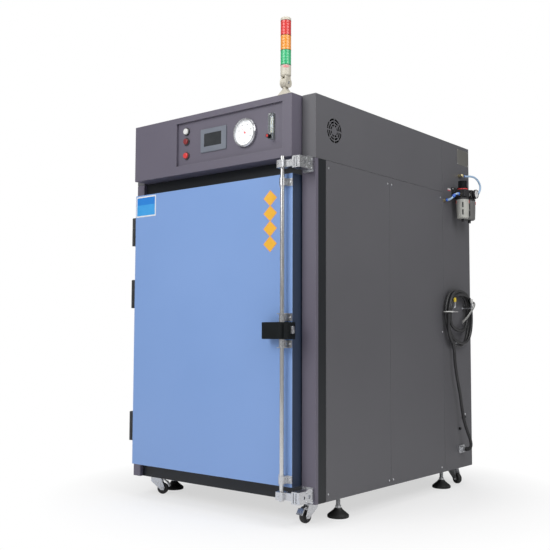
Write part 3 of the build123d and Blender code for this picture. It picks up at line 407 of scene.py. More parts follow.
def coated(name, colour, rough=0.42, wear=0.5, dust=0.2, second=None):
    # powder-coated sheet; second is (axis, place, colour) for a part of the sheet given another colour: here
    # near-black paint with painted shade on the front frame's recess, and painted shade on the door's side
    look = Look(name)
    coat = look.marks("coat")
    base = look.mixed(coat["Tone"], darker(colour, 0.06), lighter(colour, 0.02))
    if second:
        base = look.mixed(look.beyond(*second[:2]), base, second[2])
    base = look.over(base, "edge", wear, lighter(colour, 0.35))
    base = look.over(base, "dust", dust, (0.42, 0.41, 0.40))
    return look.finish(coat, 0.12, 0.0002, Base_Color=base,
                       Roughness=look.ranged(coat["Tone"], rough - 0.05, rough + 0.06))


def metal(name, colour, rough=0.3, pattern="brush", strength=0.15, stretch=(900.0, 900.0, 12.0), tint=0.18,
          spread=0.08):
    look = Look(name)
    marks = look.marks("brush", Stretch=stretch) if pattern == "brush" else look.marks(pattern)
    base = look.mixed(marks["Tone"], darker(colour, tint), lighter(colour, 0.1))
    base = look.over(base, "edge", 0.5, lighter(colour, 0.5))
    return look.finish(marks, strength, 0.0001, Base_Color=base, Metallic=1.0,
                       Roughness=look.ranged(marks["Height"], rough - spread, rough + spread))


def moulded(name, colour, rough=0.5, grain=1400.0, strength=0.2, coat=0.0, clear=0.0, split=None, dust=0.12,
            shine=0.5):
    # plastic or rubber; clear lets light through, split is (axis, place, colour beyond it)
    look = Look(name)
    mould = look.marks("mould", Scale=grain)
    rubbed = 0.03 if dust > 0.05 else 0.004
    base = look.mixed(mould["Tone"], darker(colour, 0.12), lighter(colour, rubbed))
    if split:
        base = look.mixed(look.beyond(*split[:2]), base, split[2])
    base = look.over(base, "dust", dust, (0.40, 0.39, 0.38))
    if clear:
        look.shade(Transmission_Weight=clear, IOR=1.46)
        look.letLightThrough()
    return look.finish(mould, strength, 0.00015, Base_Color=base, Coat_Weight=coat, Specular_IOR_Level=shine,
                       Roughness=look.ranged(mould["Tone"], rough - 0.06, rough + 0.06))


def filterBodies(name):
    # black bodies over a light front bowl guard and a darker rear one
    look = Look(name)
    mould = look.marks("mould", Scale=900.0)
    black = (0.016, 0.016, 0.018)
    rear = look.beyond("y", (cabinet["front"] + 1173.0) / 1000)
    guard = look.mixed(rear, (0.50, 0.50, 0.46), (0.16, 0.16, 0.155))
    below = look.mixed(look.beyond("z", (cabinet["base"] + 1217.0) / 1000), black, guard)
    base = look.mixed(look.beyond("z", (cabinet["base"] + 1312.0) / 1000), below, black)
    base = look.mixed(look.ranged(mould["Tone"], 0.0, 0.12), base, (0.10, 0.10, 0.10))
    return look.finish(mould, 0.15, 0.00015, Base_Color=base, Roughness=look.ranged(mould["Tone"], 0.36, 0.5))


def footParts(name):
    # rubber pad below, zinc-plated nut and stem above
    look = Look(name)
    mould = look.marks("mould", Scale=700.0)
    steel = look.beyond("z", 0.038)
    bright = look.mixed(look.marks("zinc")["Tone"], (0.60, 0.61, 0.62), (0.78, 0.79, 0.80))
    rubber = look.mixed(mould["Tone"], (0.014, 0.014, 0.015), (0.024, 0.024, 0.025))
    return look.finish(mould, 0.2, 0.00015, Base_Color=look.mixed(steel, rubber, bright), Metallic=steel,
                       Roughness=look.ranged(mould["Tone"], 0.38, 0.55))


# the door side's navy is painted shade on the door's right side
# the header's near-black is dark paint with painted shade for the front frame's recess
# the side's grey is painted shade: a darker copy of the front's grey, the cabinet's one paint
paint = dict(
    front=(0.127, 0.115, 0.154), side=(0.107, 0.106, 0.117), headerPaintAndShade=(0.007, 0.009, 0.012),
    door=(0.215, 0.360, 0.690), doorSideShade=(0.034, 0.050, 0.088), black=(0.018, 0.019, 0.021),
)
finishes = {
    "cabinet_paint": coated("frontPaint", paint["front"]),
    # the front frame's recessed header and sill get the near-black: partly dark paint, partly painted shade
    # of the recess under the control box and below the door
    "frame_front": coated("stilePaint", paint["front"],
                          second=("y", (cabinet["front"] + 17) / 1000, paint["headerPaintAndShade"])),
    # the side panels' grey is painted shade, a darker copy of the front's paint
    "panel_paint": coated("sidePaint", paint["side"]),
    # the door's right side beyond the x place gets dark navy: painted shade on the blue door sheet
    "door_paint": coated("doorPaint", paint["door"], rough=0.36, wear=0.35, dust=0.1,
                         second=("x", (cabinet["right"] - 74.0) / 1000, paint["doorSideShade"])),
    "stainless": metal("brushedStainless", (0.62, 0.62, 0.61), 0.32, stretch=(12.0, 900.0, 900.0)),
    "rod_steel": metal("drawnRod", (0.76, 0.76, 0.75), 0.28, stretch=(700.0, 700.0, 9.0)),
    "zinc": metal("zincPlate", (0.70, 0.71, 0.73), 0.30, pattern="zinc", strength=0.02, tint=0.10,
                  spread=0.03),
    "frame_steel": coated("primedSteel", (0.05, 0.05, 0.055), 0.5),
    "wool": moulded("mineralWool", (0.55, 0.50, 0.36), 0.9, grain=300.0, strength=0.8),
    "silicone": moulded("siliconeSeal", (0.022, 0.022, 0.024), 0.55, grain=700.0),
    "rubber": moulded("blackRubber", (0.016, 0.016, 0.017), 0.6, grain=800.0, strength=0.3),
    "black_plastic": moulded("blackPlastic", (0.005, 0.007, 0.008), 0.5, dust=0.015, shine=0.15),
    "black_metal": coated("blackHinge", paint["black"], 0.4, wear=0.8),
    "motor": coated("motorPaint", (0.05, 0.07, 0.09), 0.5),
    "heater": metal("heaterSheath", (0.30, 0.25, 0.21), 0.4, pattern="zinc"),
    "bezel": moulded("operatorBezel", (0.17, 0.19, 0.23), 0.4, coat=0.2),
    "gauge": metal("gaugeBezel", (0.70, 0.71, 0.73), 0.25, stretch=(600.0, 30.0, 600.0)),
    "clear": moulded("clearAcrylic", (0.86, 0.92, 0.95), 0.08, strength=0.02, clear=0.85),
    "tower_grey": moulded("towerIvory", (0.64, 0.60, 0.50), 0.4),
    "white_plastic": moulded("whitePlastic", (0.80, 0.80, 0.78), 0.35),
    "lens_green": moulded("greenLens", (0.03, 0.50, 0.20), 0.22, strength=0.05, coat=0.4),
    "lens_orange": moulded("orangeLens", (0.90, 0.33, 0.03), 0.22, strength=0.05, coat=0.4),
    "lens_red": moulded("redLens", (0.72, 0.03, 0.025), 0.22, strength=0.05, coat=0.4),
    "red_plastic": moulded("redButton", (0.70, 0.03, 0.03), 0.3, coat=0.4),
    "dark_red_plastic": moulded("darkRedButton", (0.24, 0.012, 0.014), 0.3, coat=0.4),
    "brass": metal("nickelBrass", (0.70, 0.60, 0.34), 0.3, pattern="zinc", strength=0.02, tint=0.08,
                   spread=0.03),
    "hose": moulded("polyurethaneHose", (0.42, 0.60, 0.82), 0.25, strength=0.03, coat=0.3),
    "filter_bodies": filterBodies("filterBodies"),
    "foot_parts": footParts("footParts"),
    "namePlate": metal("barePlate", (0.42, 0.41, 0.38), 0.42, stretch=(900.0, 12.0, 900.0)),
    "braid": metal("tinnedBraid", (0.74, 0.74, 0.72), 0.34, pattern="zinc", strength=0.6),
    "cable": moulded("cableSheath", (0.014, 0.014, 0.016), 0.36, grain=500.0, strength=0.12),
}
# the small parts and labels that only the scene has
plastics = dict(
    tagRed=dict(colour=(0.62, 0.10, 0.12), rough=0.5,
                split=("z", (cabinet["base"] + 1362.0) / 1000, (0.75, 0.72, 0.72))),
    labelWhite=dict(colour=(0.82, 0.83, 0.84), rough=0.35, strength=0.05),
    labelBlue=dict(colour=(0.04, 0.36, 0.80), rough=0.35, strength=0.05,
                   split=("z", (cabinet["base"] + 1236.0) / 1000, (0.02, 0.22, 0.66))),
    labelYellow=dict(colour=(0.95, 0.50, 0.03), rough=0.4, strength=0.05),
    labelPink=dict(colour=(0.80, 0.30, 0.30), rough=0.4, strength=0.05),
    dialWhite=dict(colour=(0.88, 0.88, 0.88), rough=0.45, strength=0.03),
    dialGlass=dict(colour=(0.98, 0.99, 1.0), rough=0.04, strength=0.0, clear=1.0, dust=0.0, shine=0.3),
    printBlack=dict(colour=(0.012, 0.012, 0.013), rough=0.5, strength=0.03),
    printWhite=dict(colour=(0.80, 0.80, 0.78), rough=0.5, strength=0.03),
    redPlastic=dict(colour=(0.70, 0.03, 0.03), rough=0.32, coat=0.3),
    screenGlass=dict(colour=(0.016, 0.020, 0.024), rough=0.12, strength=0.01, coat=0.6),
    buttonRing=dict(colour=(0.03, 0.03, 0.033), rough=0.3, coat=0.3),
    scaleAmber=dict(colour=(0.42, 0.34, 0.12), rough=0.4),
    couplingBlue=dict(colour=(0.02, 0.13, 0.62), rough=0.3, coat=0.3),
    capYellow=dict(colour=(0.85, 0.62, 0.02), rough=0.35, coat=0.3),
)
for name, values in plastics.items():
    finishes[name] = moulded(name, **values)
print("finishes made:", len(finishes))


def dressCad():
    # the CAD nodes keep their shapes; welded and split at sharp edges they shade smoothly
    for name, node in nodes.items():
        slotName = next(s["material_slot"] for s in frame["record"]["subparts"] if s["node"] == name)
        special = {"front_frame": "frame_front", "lock_rod": "rod_steel", "filter_set": "filter_bodies"}
        if name.startswith("levelling_foot"):
            special[name] = "foot_parts"
        finish = finishes[special.get(name, slotName)]
        node.data.materials.clear()
        node.data.materials.append(finish)
        node.data.polygons.foreach_set("use_smooth", [True] * len(node.data.polygons))
        weld = node.modifiers.new("weld", "WELD")
        weld.merge_threshold = 0.00001
        split = node.modifiers.new("sharpEdges", "EDGE_SPLIT")
        split.split_angle = sharpAngle


# cords first: the hoses of the filter set and the coiled power cable
hoses = dict(
    radius=5,
    # sections of the couplings: (place along the hose from its end, or from its middle for the union, radius)
    collet=[(0, 6.536), (1.08, 7.6), (7.2, 7.6), (9, 5.472)],
    union=[(-9, 5.4), (-7, 7.8), (-1, 8.2), (1, 8.2), (7, 7.8), (9, 5.4)],
    upper=[(17, 1212.8, 1446), (17, 1238, 1446), (27, 1270, 1452), (41, 1302, 1448),
           (52, 1324, 1424), (58, 1325, 1393), (57, 1305, 1366), (52, 1276, 1337),
           (52, 1248.3, 1337)],
    lower=[(52, 1097.7, 1337), (52, 1078, 1337), (49, 1058, 1326), (36, 1043, 1303),
           (13.3, 1043, 1303)],
)
cable = dict(
    radius=7.5,
    tail=[(22, 1186, 92), (47, 1186, 92), (59, 1186, 112), (55, 1180, 148),
          (43, 1168, 190), (34, 1155, 245), (31, 1143, 305), (31, 1128, 366),
          (30, 1108, 424), (29, 1092, 480), (26, 1086, 534), (25, 1088, 584)],
    # one entry for each quarter turn: left, top, right, bottom, as (x, y, z)
    perQuarter=4, fullness=0.85,
    quarters=[(17, 1013, 720), (16, 1120, 865), (16, 1256, 745), (18, 1150, 593),
              (33, 1015, 715), (34, 1130, 864), (34, 1254, 740), (34, 1160, 606),
              (17, 1031, 735), (17, 1140, 848), (18, 1238, 765), (22, 1170, 668),
              (34, 1032, 740), (34, 1130, 847), (38, 1236, 806)],
    boot=dict(wide=10.5, thin=8.3, start=5, length=34, ribs=6),
    ferrule=[(0, 7), (1.5, 8.6), (20, 9), (26, 8.9), (28, 8.2)],
    braid=[(38, 1236, 806), (40, 1247, 812), (52, 1249, 808), (62, 1230, 792),
           (62, 1190, 760), (61, 1150, 732), (60, 1119, 716)],
    braidRadius=5.2, wires=9, wireRadius=0.6,
    tie=dict(at=(26, 1023, 757), half=(19, 20, 1), thick=0.9,
             head=((43, 1026, 755.8), (49.5, 1033, 762.8), 1),
             end=((48, 1033, 758), (49.2, 1081, 760.6), 0.4)),
    hooks=dict(Left=(51, 1047.6, 822), Right=(51, 1222.4, 822)),
    hookCap=[(5.4, -16), (6.4, -14.5), (6.8, -3), (6, 2), (3, 4.6), (0.05, 5)],
)


def newCurve(name, kind, points, radius, sides, capped=True):
    curve = bpy.data.curves.new(name, "CURVE")
    curve.dimensions = "3D"
    curve.bevel_depth = radius
    curve.bevel_resolution = sides
    curve.use_fill_caps = capped
    spline = curve.splines.new(kind)
    spline.points.add(len(points) - 1)
    for point, at in zip(spline.points, points):
        point.co = (*at, 1)
    piece = bpy.data.objects.new(name, curve)
    scene.collection.objects.link(piece)
    return piece, spline


def asMesh(piece):
    pickOnly(piece)
    bpy.ops.object.convert(target="MESH")
    return bpy.context.object


def curveThrough(name, points, radius):
    piece, spline = newCurve(name, "NURBS", [spot(*at) for at in points], radius / 1000, 5)
    piece.data.resolution_u = 8
    spline.order_u = 3
    spline.use_endpoint_u = True
    return piece


def lineOf(piece):
    # the smooth line of a cord, as the points of its spline without any thickness
    curve = piece.data
    depth = curve.bevel_depth
    curve.bevel_depth, curve.use_fill_caps = 0, False
    line = bpy.data.meshes.new_from_object(piece)
    curve.bevel_depth, curve.use_fill_caps = depth, True
    spots = [v.co.copy() for v in line.vertices]
    bpy.data.meshes.remove(line)
    return spots


def lengthOf(line):
    return sum((b - a).length for a, b in zip(line, line[1:]))


def placeOn(line, distance):
    for a, b in zip(line, line[1:]):
        step = (b - a).length
        if distance <= step:
            return a.lerp(b, distance / step)
        distance -= step
    return line[-1]


def sleeveOn(name, line, sections):
    # a sleeve that follows a cord: sections are (distance along it, radius) in mm
    points = [placeOn(line, distance / 1000) for distance, radius in sections]
    piece, spline = newCurve(name, "POLY", points, 0.001, 6)
    for point, (distance, radius) in zip(spline.points, sections):
        point.radius = radius
    return smooth(asMesh(piece))


def coilPoints():
    # from each quarter's place to the next on a squared-off arc round the coil's middle
    points = []
    quarters = cable["quarters"]
    for i, (a, b) in enumerate(zip(quarters, quarters[1:])):
        for step in range(cable["perQuarter"]):
            t = step / cable["perQuarter"]
            turn = t * pi / 2
            fromSide = cos(turn) ** cable["fullness"]
            toSide = sin(turn) ** cable["fullness"] if step else 0.0
            x = a[0] + (b[0] - a[0]) * t
            if i % 2 == 0:
                y = b[1] + (a[1] - b[1]) * fromSide
                z = a[2] + (b[2] - a[2]) * toSide
            else:
                y = a[1] + (b[1] - a[1]) * toSide
                z = b[2] + (a[2] - b[2]) * fromSide
            points.append((x, y, z))
    points.append(quarters[-1])
    return points


def addHoses():
    for key in ("upper", "lower"):
        hose = curveThrough("airHose" + key.title(), hoses[key], hoses["radius"])
        line = lineOf(hose)
        length = lengthOf(line)
        pieces = [sleeveOn("collet", way, hoses["collet"]) for way in (line, line[::-1])]
        if key == "lower":
            middle = length * 500
            pieces.append(sleeveOn("union", line, [(middle + along, r) for along, r in hoses["union"]]))
        fittings = dress(joinAll("hoseCouplings" + key.title(), pieces), "couplingBlue")
        dress(hose, "hose")
        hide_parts("hose_" + key)


def looseEnds(line):
    # the braid frays into a few wires
    wires = []
    last, way = line[-1], (line[-1] - line[-2]).normalized()
    for i in range(cable["wires"]):
        turn = 2 * pi * i / cable["wires"]
        side = Vector((0, cos(turn), sin(turn))) * 0.0035
        points = [last - way * 0.006 + side * 0.6, last + way * 0.006 + side, last + way * 0.016 + side * 2.2]
        wires.append(asMesh(newCurve("wire", "POLY", points, cable["wireRadius"] / 1000, 4, False)[0]))
    return wires


def bootSections():
    # a strain relief that thins in ribs
    boot = cable["boot"]
    wide, start = boot["wide"], boot["start"]
    sections = [(0, wide), (2, wide + 0.6), (start, wide)]
    for i in range(boot["ribs"]):
        share = (i + 1) / boot["ribs"]
        r = wide + (boot["thin"] - wide) * share
        at = start + (boot["length"] - start) * share
        sections += [(at - 2, r - 0.5), (at - 1.4, r + 0.5), (at - 0.2, r + 0.5), (at, r - 0.4)]
    return sections


def addCableTie():
    # a round band of 1 mm radius, drawn out to the coil's oval
    tie = cable["tie"]
    band = turned("cableTie", tie["at"], "z", [(1, 0), (1.02, 1), (1.02, 3.6), (1, 4.6)], 40, True)
    middle, half = spot(*tie["at"]), Vector(tie["half"])
    for vertex in band.data.vertices:
        vertex.co = middle + (vertex.co - middle) * half
    applyModifier(band, "SOLIDIFY", thickness=tie["thick"] / 1000, offset=1)
    ends = [block("tieHead", *tie["head"]), block("tieEnd", *tie["end"])]
    dress(joinAll("cableTie", [band] + ends), "white_plastic")


def addCable():
    lead = curveThrough("powerCable", cable["tail"] + coilPoints(), cable["radius"])
    line = lineOf(lead)
    gland = dress(sleeveOn("cableBoot", line, bootSections()), "rubber")
    ferrule = dress(sleeveOn("cableFerrule", line[::-1], cable["ferrule"]), "black_plastic")
    braid = curveThrough("cableBraid", cable["braid"], cable["braidRadius"])
    braidLine = lineOf(braid)
    braid = dress(smooth(joinAll("cableBraid", [asMesh(braid)] + looseEnds(braidLine))), "braid")
    addCableTie()
    dress(lead, "cable")
    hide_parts("cable_tube", "cable_coil")
    for side, finish in (("Left", "capYellow"), ("Right", "white_plastic")):
        dress(turned("hookCap" + side, cable["hooks"][side], "z", cable["hookCap"], 28), finish)


# fasteners: one head of each kind, copied to its places
heads = dict(
    button=dict(sides=20, rings=[(4.2, 0), (4.2, 0.7), (3.4, 1.9), (2.2, 2.3), (1.9, 2.3), (1.8, 1),
                                 (0.05, 1)]),
    hex=dict(sides=6, rings=[(5.6, 0), (5.6, 3.2), (4.9, 4), (0.05, 4)]),
    socket=dict(sides=24, rings=[(4.6, 0), (4.6, 4.2), (4.1, 4.8), (2.4, 4.8), (2.2, 2), (0.05, 2)]),
    rivet=dict(sides=16, rings=[(2, 0), (1.9, 0.5), (1.3, 1), (0.05, 1.15)]),
)


def fasteners(name, kind, places, normal, body="cabinet", size=1, finish="zinc"):
    rings = [(r * size, h * size) for r, h in heads[kind]["rings"]]
    head = turned("pattern", None, "z", rings, heads[kind]["sides"])
    turn = facing(normal)
    return dress(copiesAt(head, name, [shifted(at, turn) for at in places]), finish, body)


# panels: screws, the cooling fan behind the vent, plates left bare
# (a box is its low corner, its high corner and its rounding)
panels = dict(
    sideScrews=[(86, 1312), (82.5, 28.5), (1009, 1313), (1015, 663), (998, 24),
                (529, 1312), (561, 1312), (529, 24), (561, 24), (1152.5, 606)],
    leftScrews=9, sunk=2.4, rearSunk=2.2,
    roofX=(-1020, -25), roofY=(60, 360, 660, 960, 1250),
    rearX=(-1020, -522.5, -25), rearZ=(40, 800, 1240, 1570),
    slat=(262, 7, 1.2), slatTilt=-38, slatY=1303,
    louvreX=(-752.4, -292.6), louvreZ=302, louvrePitch=26, louvreRows=7,
)
vent = dict(
    y=126, z=1471, blades=7, blade=(2, 37, 16), bladeRoot=(1, -18.5, 8), bladeTwist=52,
    bladeX=-26, ringX=-39, ring=[(56, 0), (59, 0), (59, 25), (56, 25)],
    hubX=-38, hub=[(20, 0), (20, 18), (17, 21), (0.05, 21)],
)
plates = dict(
    name=dict(low=(0, 1185, 1505), high=(0.9, 1302.6, 1583), rivet=5, border=4, sunk=0.25),
    tag=((0, 1083, 1356), (0.3, 1112, 1369), 0.1),
    stud=((0, 1220, 258), "x",
          [(9, 0), (9, 1.5), (5, 1.6), (5, 11), (4.2, 12), (0.05, 12)], 24),
    bar=((0, 1202, 238), (5, 1240, 247), 1.5),
    clip=((0, 1170, 184), (7, 1186, 196), 2),
)


def addPanelDetail():
    sides, left = panels["sideScrews"], -cabinet["width"] + panels["sunk"]
    rear = cabinet["depth"] - panels["rearSunk"]
    fasteners("rightPanelScrews", "button", [(0, y, z) for y, z in sides], (1, 0, 0))
    across = [(left, y, z) for y, z in sides[:panels["leftScrews"]]]
    fasteners("leftPanelScrews", "button", across, (-1, 0, 0))
    fasteners("rearPanelScrews", "button", grid(panels["rearX"], [rear], panels["rearZ"]), (0, 1, 0))
    fasteners("roofScrews", "button", grid(panels["roofX"], panels["roofY"], [cabinet["height"]]), (0, 0, 1))
    slat = chip(panels["slat"], 0.4)
    slat.data.transform(about("X", radians(panels["slatTilt"])))
    rows = [panels["louvreZ"] + i * panels["louvrePitch"] for i in range(panels["louvreRows"])]
    places = grid(panels["louvreX"], [panels["slatY"]], rows)
    dress(copiesAt(slat, "rearLouvreSlats", map(shifted, places)), "panel_paint")


def addVentFan():
    y, z = vent["y"], vent["z"]
    ring = turned("ventFan", (vent["ringX"], y, z), "x", vent["ring"], 48, True)
    hub = turned("ventHub", (vent["hubX"], y, z), "x", vent["hub"], 40)
    blade = chip(vent["blade"], 0.6, vent["bladeRoot"])
    blade.data.transform(about("Y", radians(vent["bladeTwist"])))
    turns = [about("X", 2 * pi * i / vent["blades"]) for i in range(vent["blades"])]
    blades = copiesAt(blade, "ventBlades", [shifted((vent["bladeX"], y, z), turn) for turn in turns])
    dress(joinAll("ventFan", [ring, hub, blades]), "black_plastic")


def addPlates():
    values = plates["name"]
    low, high, inset = values["low"], values["high"], values["rivet"]
    plate = pushFaces(block("nameplate", low, high, 0.3), (1, 0, 0), values["border"], -values["sunk"])
    dress(plate, "namePlate")
    corners = grid([high[0]], (low[1] + inset, high[1] - inset), (low[2] + inset, high[2] - inset))
    fasteners("nameplateRivets", "rivet", corners, (1, 0, 0))
    dress(block("sideTag", *plates["tag"]), "tagRed")
    dress(turned("earthStud", *plates["stud"]), "zinc")
    dress(block("earthBar", *plates["bar"]), "black_plastic")
    dress(block("cableClip", *plates["clip"]), "black_plastic")


# door: the labels stay bare, as flat plates
doorLabels = dict(
    plate=dict(low=(-991, -54.1, 1181), high=(-860, -53.7, 1276), border=6, rise=0.15),
    diamond=dict(x=-186.5, wide=71.5, tall=66, top=1225, pitch=61.4, count=4, thick=0.35, edge=2.2,
                 lift=0.12, overlap=0.06),
)


def addDoorLabels():
    values = doorLabels["plate"]
    low, high, border = values["low"], values["high"], values["border"]
    dress(block("doorPlate", low, high, 0.15), "labelWhite", "door")
    field = block("doorPlateField", (low[0] + border, low[1] - values["rise"], low[2] + border),
                  (high[0] - border, low[1], high[2] - border), 0.05)
    dress(field, "labelBlue", "door")
    values = doorLabels["diamond"]
    squash = Matrix.Diagonal((1, values["tall"] / values["wide"], 1, 1))
    parts = (("Edge", "labelPink", 0, 0), ("Field", "labelYellow", values["edge"], values["lift"]))
    for part, finish, inset, lift in parts:
        r = values["wide"] / 2 - inset
        made = []
        for i in range(values["count"]):
            # each lies a little over the one above it
            thick = values["thick"] + lift + values["overlap"] * i
            piece = turned("pattern", None, "z", [(r, 0), (r, thick), (0.05, thick)], 4)
            piece.data.transform(squash)
            at = (values["x"], doorFace, values["top"] - values["tall"] / 2 - i * values["pitch"])
            made.append(copiesAt(piece, "diamond", [shifted(at, facing((0, -1, 0)))]))
        dress(joinAll("doorDiamond" + part, made), finish, "door")


# control panel: dial, screen, button rings, flow tube
dial = dict(
    x=-320, z=1477.7, face=-58.3, radius=51.4, sweep=240, major=10, minor=5, tickAt=44, numberAt=34,
    numberSize=8.5, reading=0.34, hand=(1.3, 0.5, 44), handPivot=(0.65, 0.25, 7), zeroScrew=41,
    boss=[(4.2, 0), (4.2, 2.6), (3.2, 3.4), (0.05, 3.4)],
    glass=[(52.4, 0), (52.4, 1.2), (40, 1.9), (0.05, 2.1)],
)
screen = dict(box=((-555.4, -58, 1451), (-454.7, -56.8, 1507.5), 0.4), border=6, raised=0.3)
buttons = dict(x=-665.5, heights=(1427.3, 1489.6, 1534.2),
               rings=[(17, 0), (17, 4.6), (15.8, 6), (13.6, 6), (13.6, 4)])
flow = dict(
    back=((-186, -53.2, 1430), (-163.4, -52, 1531), 0.3),
    scale=((-176.9, -56, 1455), (-172.5, -55.4, 1520), 0.2),
    screws=[(-174.7, -72.2, 1447.5), (-174.7, -72.2, 1527.5)],
    ticks=15, tick=(-169.9, -72.4, 1458), tickPitch=4.6, tickThick=(0.2, 0.5), tickWide=(2.6, 4.6),
    floatAt=(-174.7, -58.9, 1478), knobAt=(-174.7, -89.5, 1438),
    float=[(0.4, 0), (2, 0.5), (3.2, 2), (3.4, 3.4), (3.2, 4.8), (2, 6.3), (0.4, 6.8)],
    knobFace=[(5.4, 0), (5.2, 0.5), (0.05, 0.6)],
)


def dialTurn(share):
    return radians(dial["sweep"] * (0.5 - share))


def onDial(radius, turn, y):
    return (dial["x"] - radius * sin(turn), y, dial["z"] + radius * cos(turn))


def dialTicks(name, tickAt, length, count, wide, thick=0.25):
    turns = [dialTurn(i / count) for i in range(count + 1)]
    y = dial["face"] - 0.2
    matrices = [shifted(onDial(tickAt, turn, y), about("Y", -turn)) for turn in turns]
    return copiesAt(chip((wide, thick, length)), name, matrices)


def addGauge():
    x, face, z, r = dial["x"], dial["face"], dial["z"], dial["radius"]
    dress(turned("dialFace", (x, face + 0.2, z), "-y", [(r, 0), (r, 0.3), (0.05, 0.35)], 64), "dialWhite")
    marks = [dialTicks("fineTicks", dial["tickAt"] + 1.2, 3.2, dial["major"] * dial["minor"], 0.45),
             dialTicks("mainTicks", dial["tickAt"], 5.6, dial["major"], 0.95)]
    for i in range(0, dial["major"] + 1, 2):
        at = spot(*onDial(dial["numberAt"], dialTurn(i / dial["major"]), face - 0.3))
        bpy.ops.object.text_add(location=at, rotation=(pi / 2, 0, 0))
        number = bpy.context.object
        number.data.body = str(10 * i)
        number.data.size = dial["numberSize"] / 1000
        number.data.align_x = number.data.align_y = "CENTER"
        number.data.extrude = 0.00008
        marks.append(asMesh(number))
    dress(joinAll("dialMarks", marks), "printBlack")
    lean = about("Y", -dialTurn(dial["reading"]))
    hand = chip(dial["hand"], 0.15, dial["handPivot"])
    hand = copiesAt(hand, "dialHand", [shifted((x, face - 2, z), lean)])
    boss = turned("dialBoss", (x, face, z), "-y", dial["boss"], 28)
    dress(joinAll("dialPointer", [hand, boss]), "redPlastic")
    screw = (x, face - 5.6, z - dial["zeroScrew"])
    fasteners("dialZeroScrew", "button", [screw], (0, -1, 0), size=0.8)
    dress(turned("dialGlass", (x, face - 5.2, z), "-y", dial["glass"], 64), "dialGlass")


def addControls():
    glass = block("operatorScreen", *screen["box"])
    dress(pushFaces(glass, (0, -1, 0), screen["border"], screen["raised"]), "screenGlass")
    rings = [turned("buttonRing", (buttons["x"], panelFace, z), "-y", buttons["rings"], 40, True)
             for z in buttons["heights"]]
    dress(joinAll("buttonRings", rings), "buttonRing")
    dress(block("flowBack", *flow["back"]), "black_plastic")
    dress(block("flowScale", *flow["scale"]), "scaleAmber")
    ticks = []
    x, y, low = flow["tick"]
    deep, tall = flow["tickThick"]
    for i in range(flow["ticks"]):
        z = low + i * flow["tickPitch"]
        ticks.append(block("flowTick", (x, y, z), (x + flow["tickWide"][i % 5 == 0], y + deep, z + tall)))
    dress(joinAll("flowTicks", ticks), "printWhite")
    dress(turned("flowFloat", flow["floatAt"], "z", flow["float"], 24), "zinc")
    fasteners("flowScrews", "socket", flow["screws"], (0, -1, 0), size=0.7)
    dress(turned("flowKnobFace", flow["knobAt"], "-y", flow["knobFace"], 28), "redPlastic", "flow_knob")


# signal tower: seals between the lenses, the pivot's screws, the small bare label
tower = dict(
    x=-164, y=15, radius=21.8, seams=(1746, 1808, 1870, 1932), pivot=1673, pivotHalf=15,
    label=dict(z=1737, tall=9, start=-82, end=-18), foot=dict(z=1605, dx=30, dy=20),
)


def wrapped(name, at, radius, height, start, end, columns=16):
    # a thin label laid round an upright tube between two compass angles
    bpy.ops.mesh.primitive_grid_add(x_subdivisions=columns, y_subdivisions=2, size=2)
    piece = bpy.context.object
    for vertex in piece.data.vertices:
        turn = radians(start + (end - start) * (vertex.co.x + 1) / 2)
        up = height * vertex.co.y / 2
        vertex.co = spot(at[0] + radius * cos(turn), at[1] + radius * sin(turn), at[2] + up)
    applyModifier(piece, "SOLIDIFY", thickness=0.0003, offset=1)
    piece.name = name
    return smooth(piece)


def addTowerDetail():
    x, y, r = tower["x"], tower["y"], tower["radius"]
    ring = [(r - 1, 0), (r + 0.35, 0.2), (r + 0.35, 1.4), (r - 1, 1.6)]
    seals = [turned("lensSeal", (x, y, z - 0.8), "z", ring, 48, True) for z in tower["seams"]]
    dress(joinAll("towerSeals", seals), "silicone", "tower")
    label, foot = tower["label"], tower["foot"]
    strip = wrapped("towerLabel", (x, y, label["z"]), r + 0.05, label["tall"], label["start"], label["end"])
    dress(strip, "labelPink", "tower")
    for side, way in (("Right", 1), ("Left", -1)):
        at = (x + way * tower["pivotHalf"], y, tower["pivot"])
        fasteners("towerPivot" + side, "button", [at], (way, 0, 0), "tower", 1.3)
    corners = grid(either(x, foot["dx"]), either(y, foot["dy"]), [foot["z"]])
    fasteners("towerFootScrews", "button", corners, (0, 0, 1), size=0.7)


# lock and hinges: the screws that hold them
lock = dict(
    guides=(93, 1245), wing=22.55, guideFace=-57.2, cams=(34, 1315), camFace=-93.5, handle=663,
    footX=(-11, 21), footDz=51, footFace=-56.7, jawRight=-8, jawY=(-47, -14), jawDz=17,
)
hinge = dict(
    heights=(230, 830, 1117), frameX=(-1034, -1008), frameY=-3, doorX=-1000.5,
    doorY=(-40, -14), dz=46, topDz=42, pin=(-1018, -38), capDz=64,
    cap=[(10.4, 0), (9.4, 1.6), (5, 2.6), (0.05, 2.8)],
)


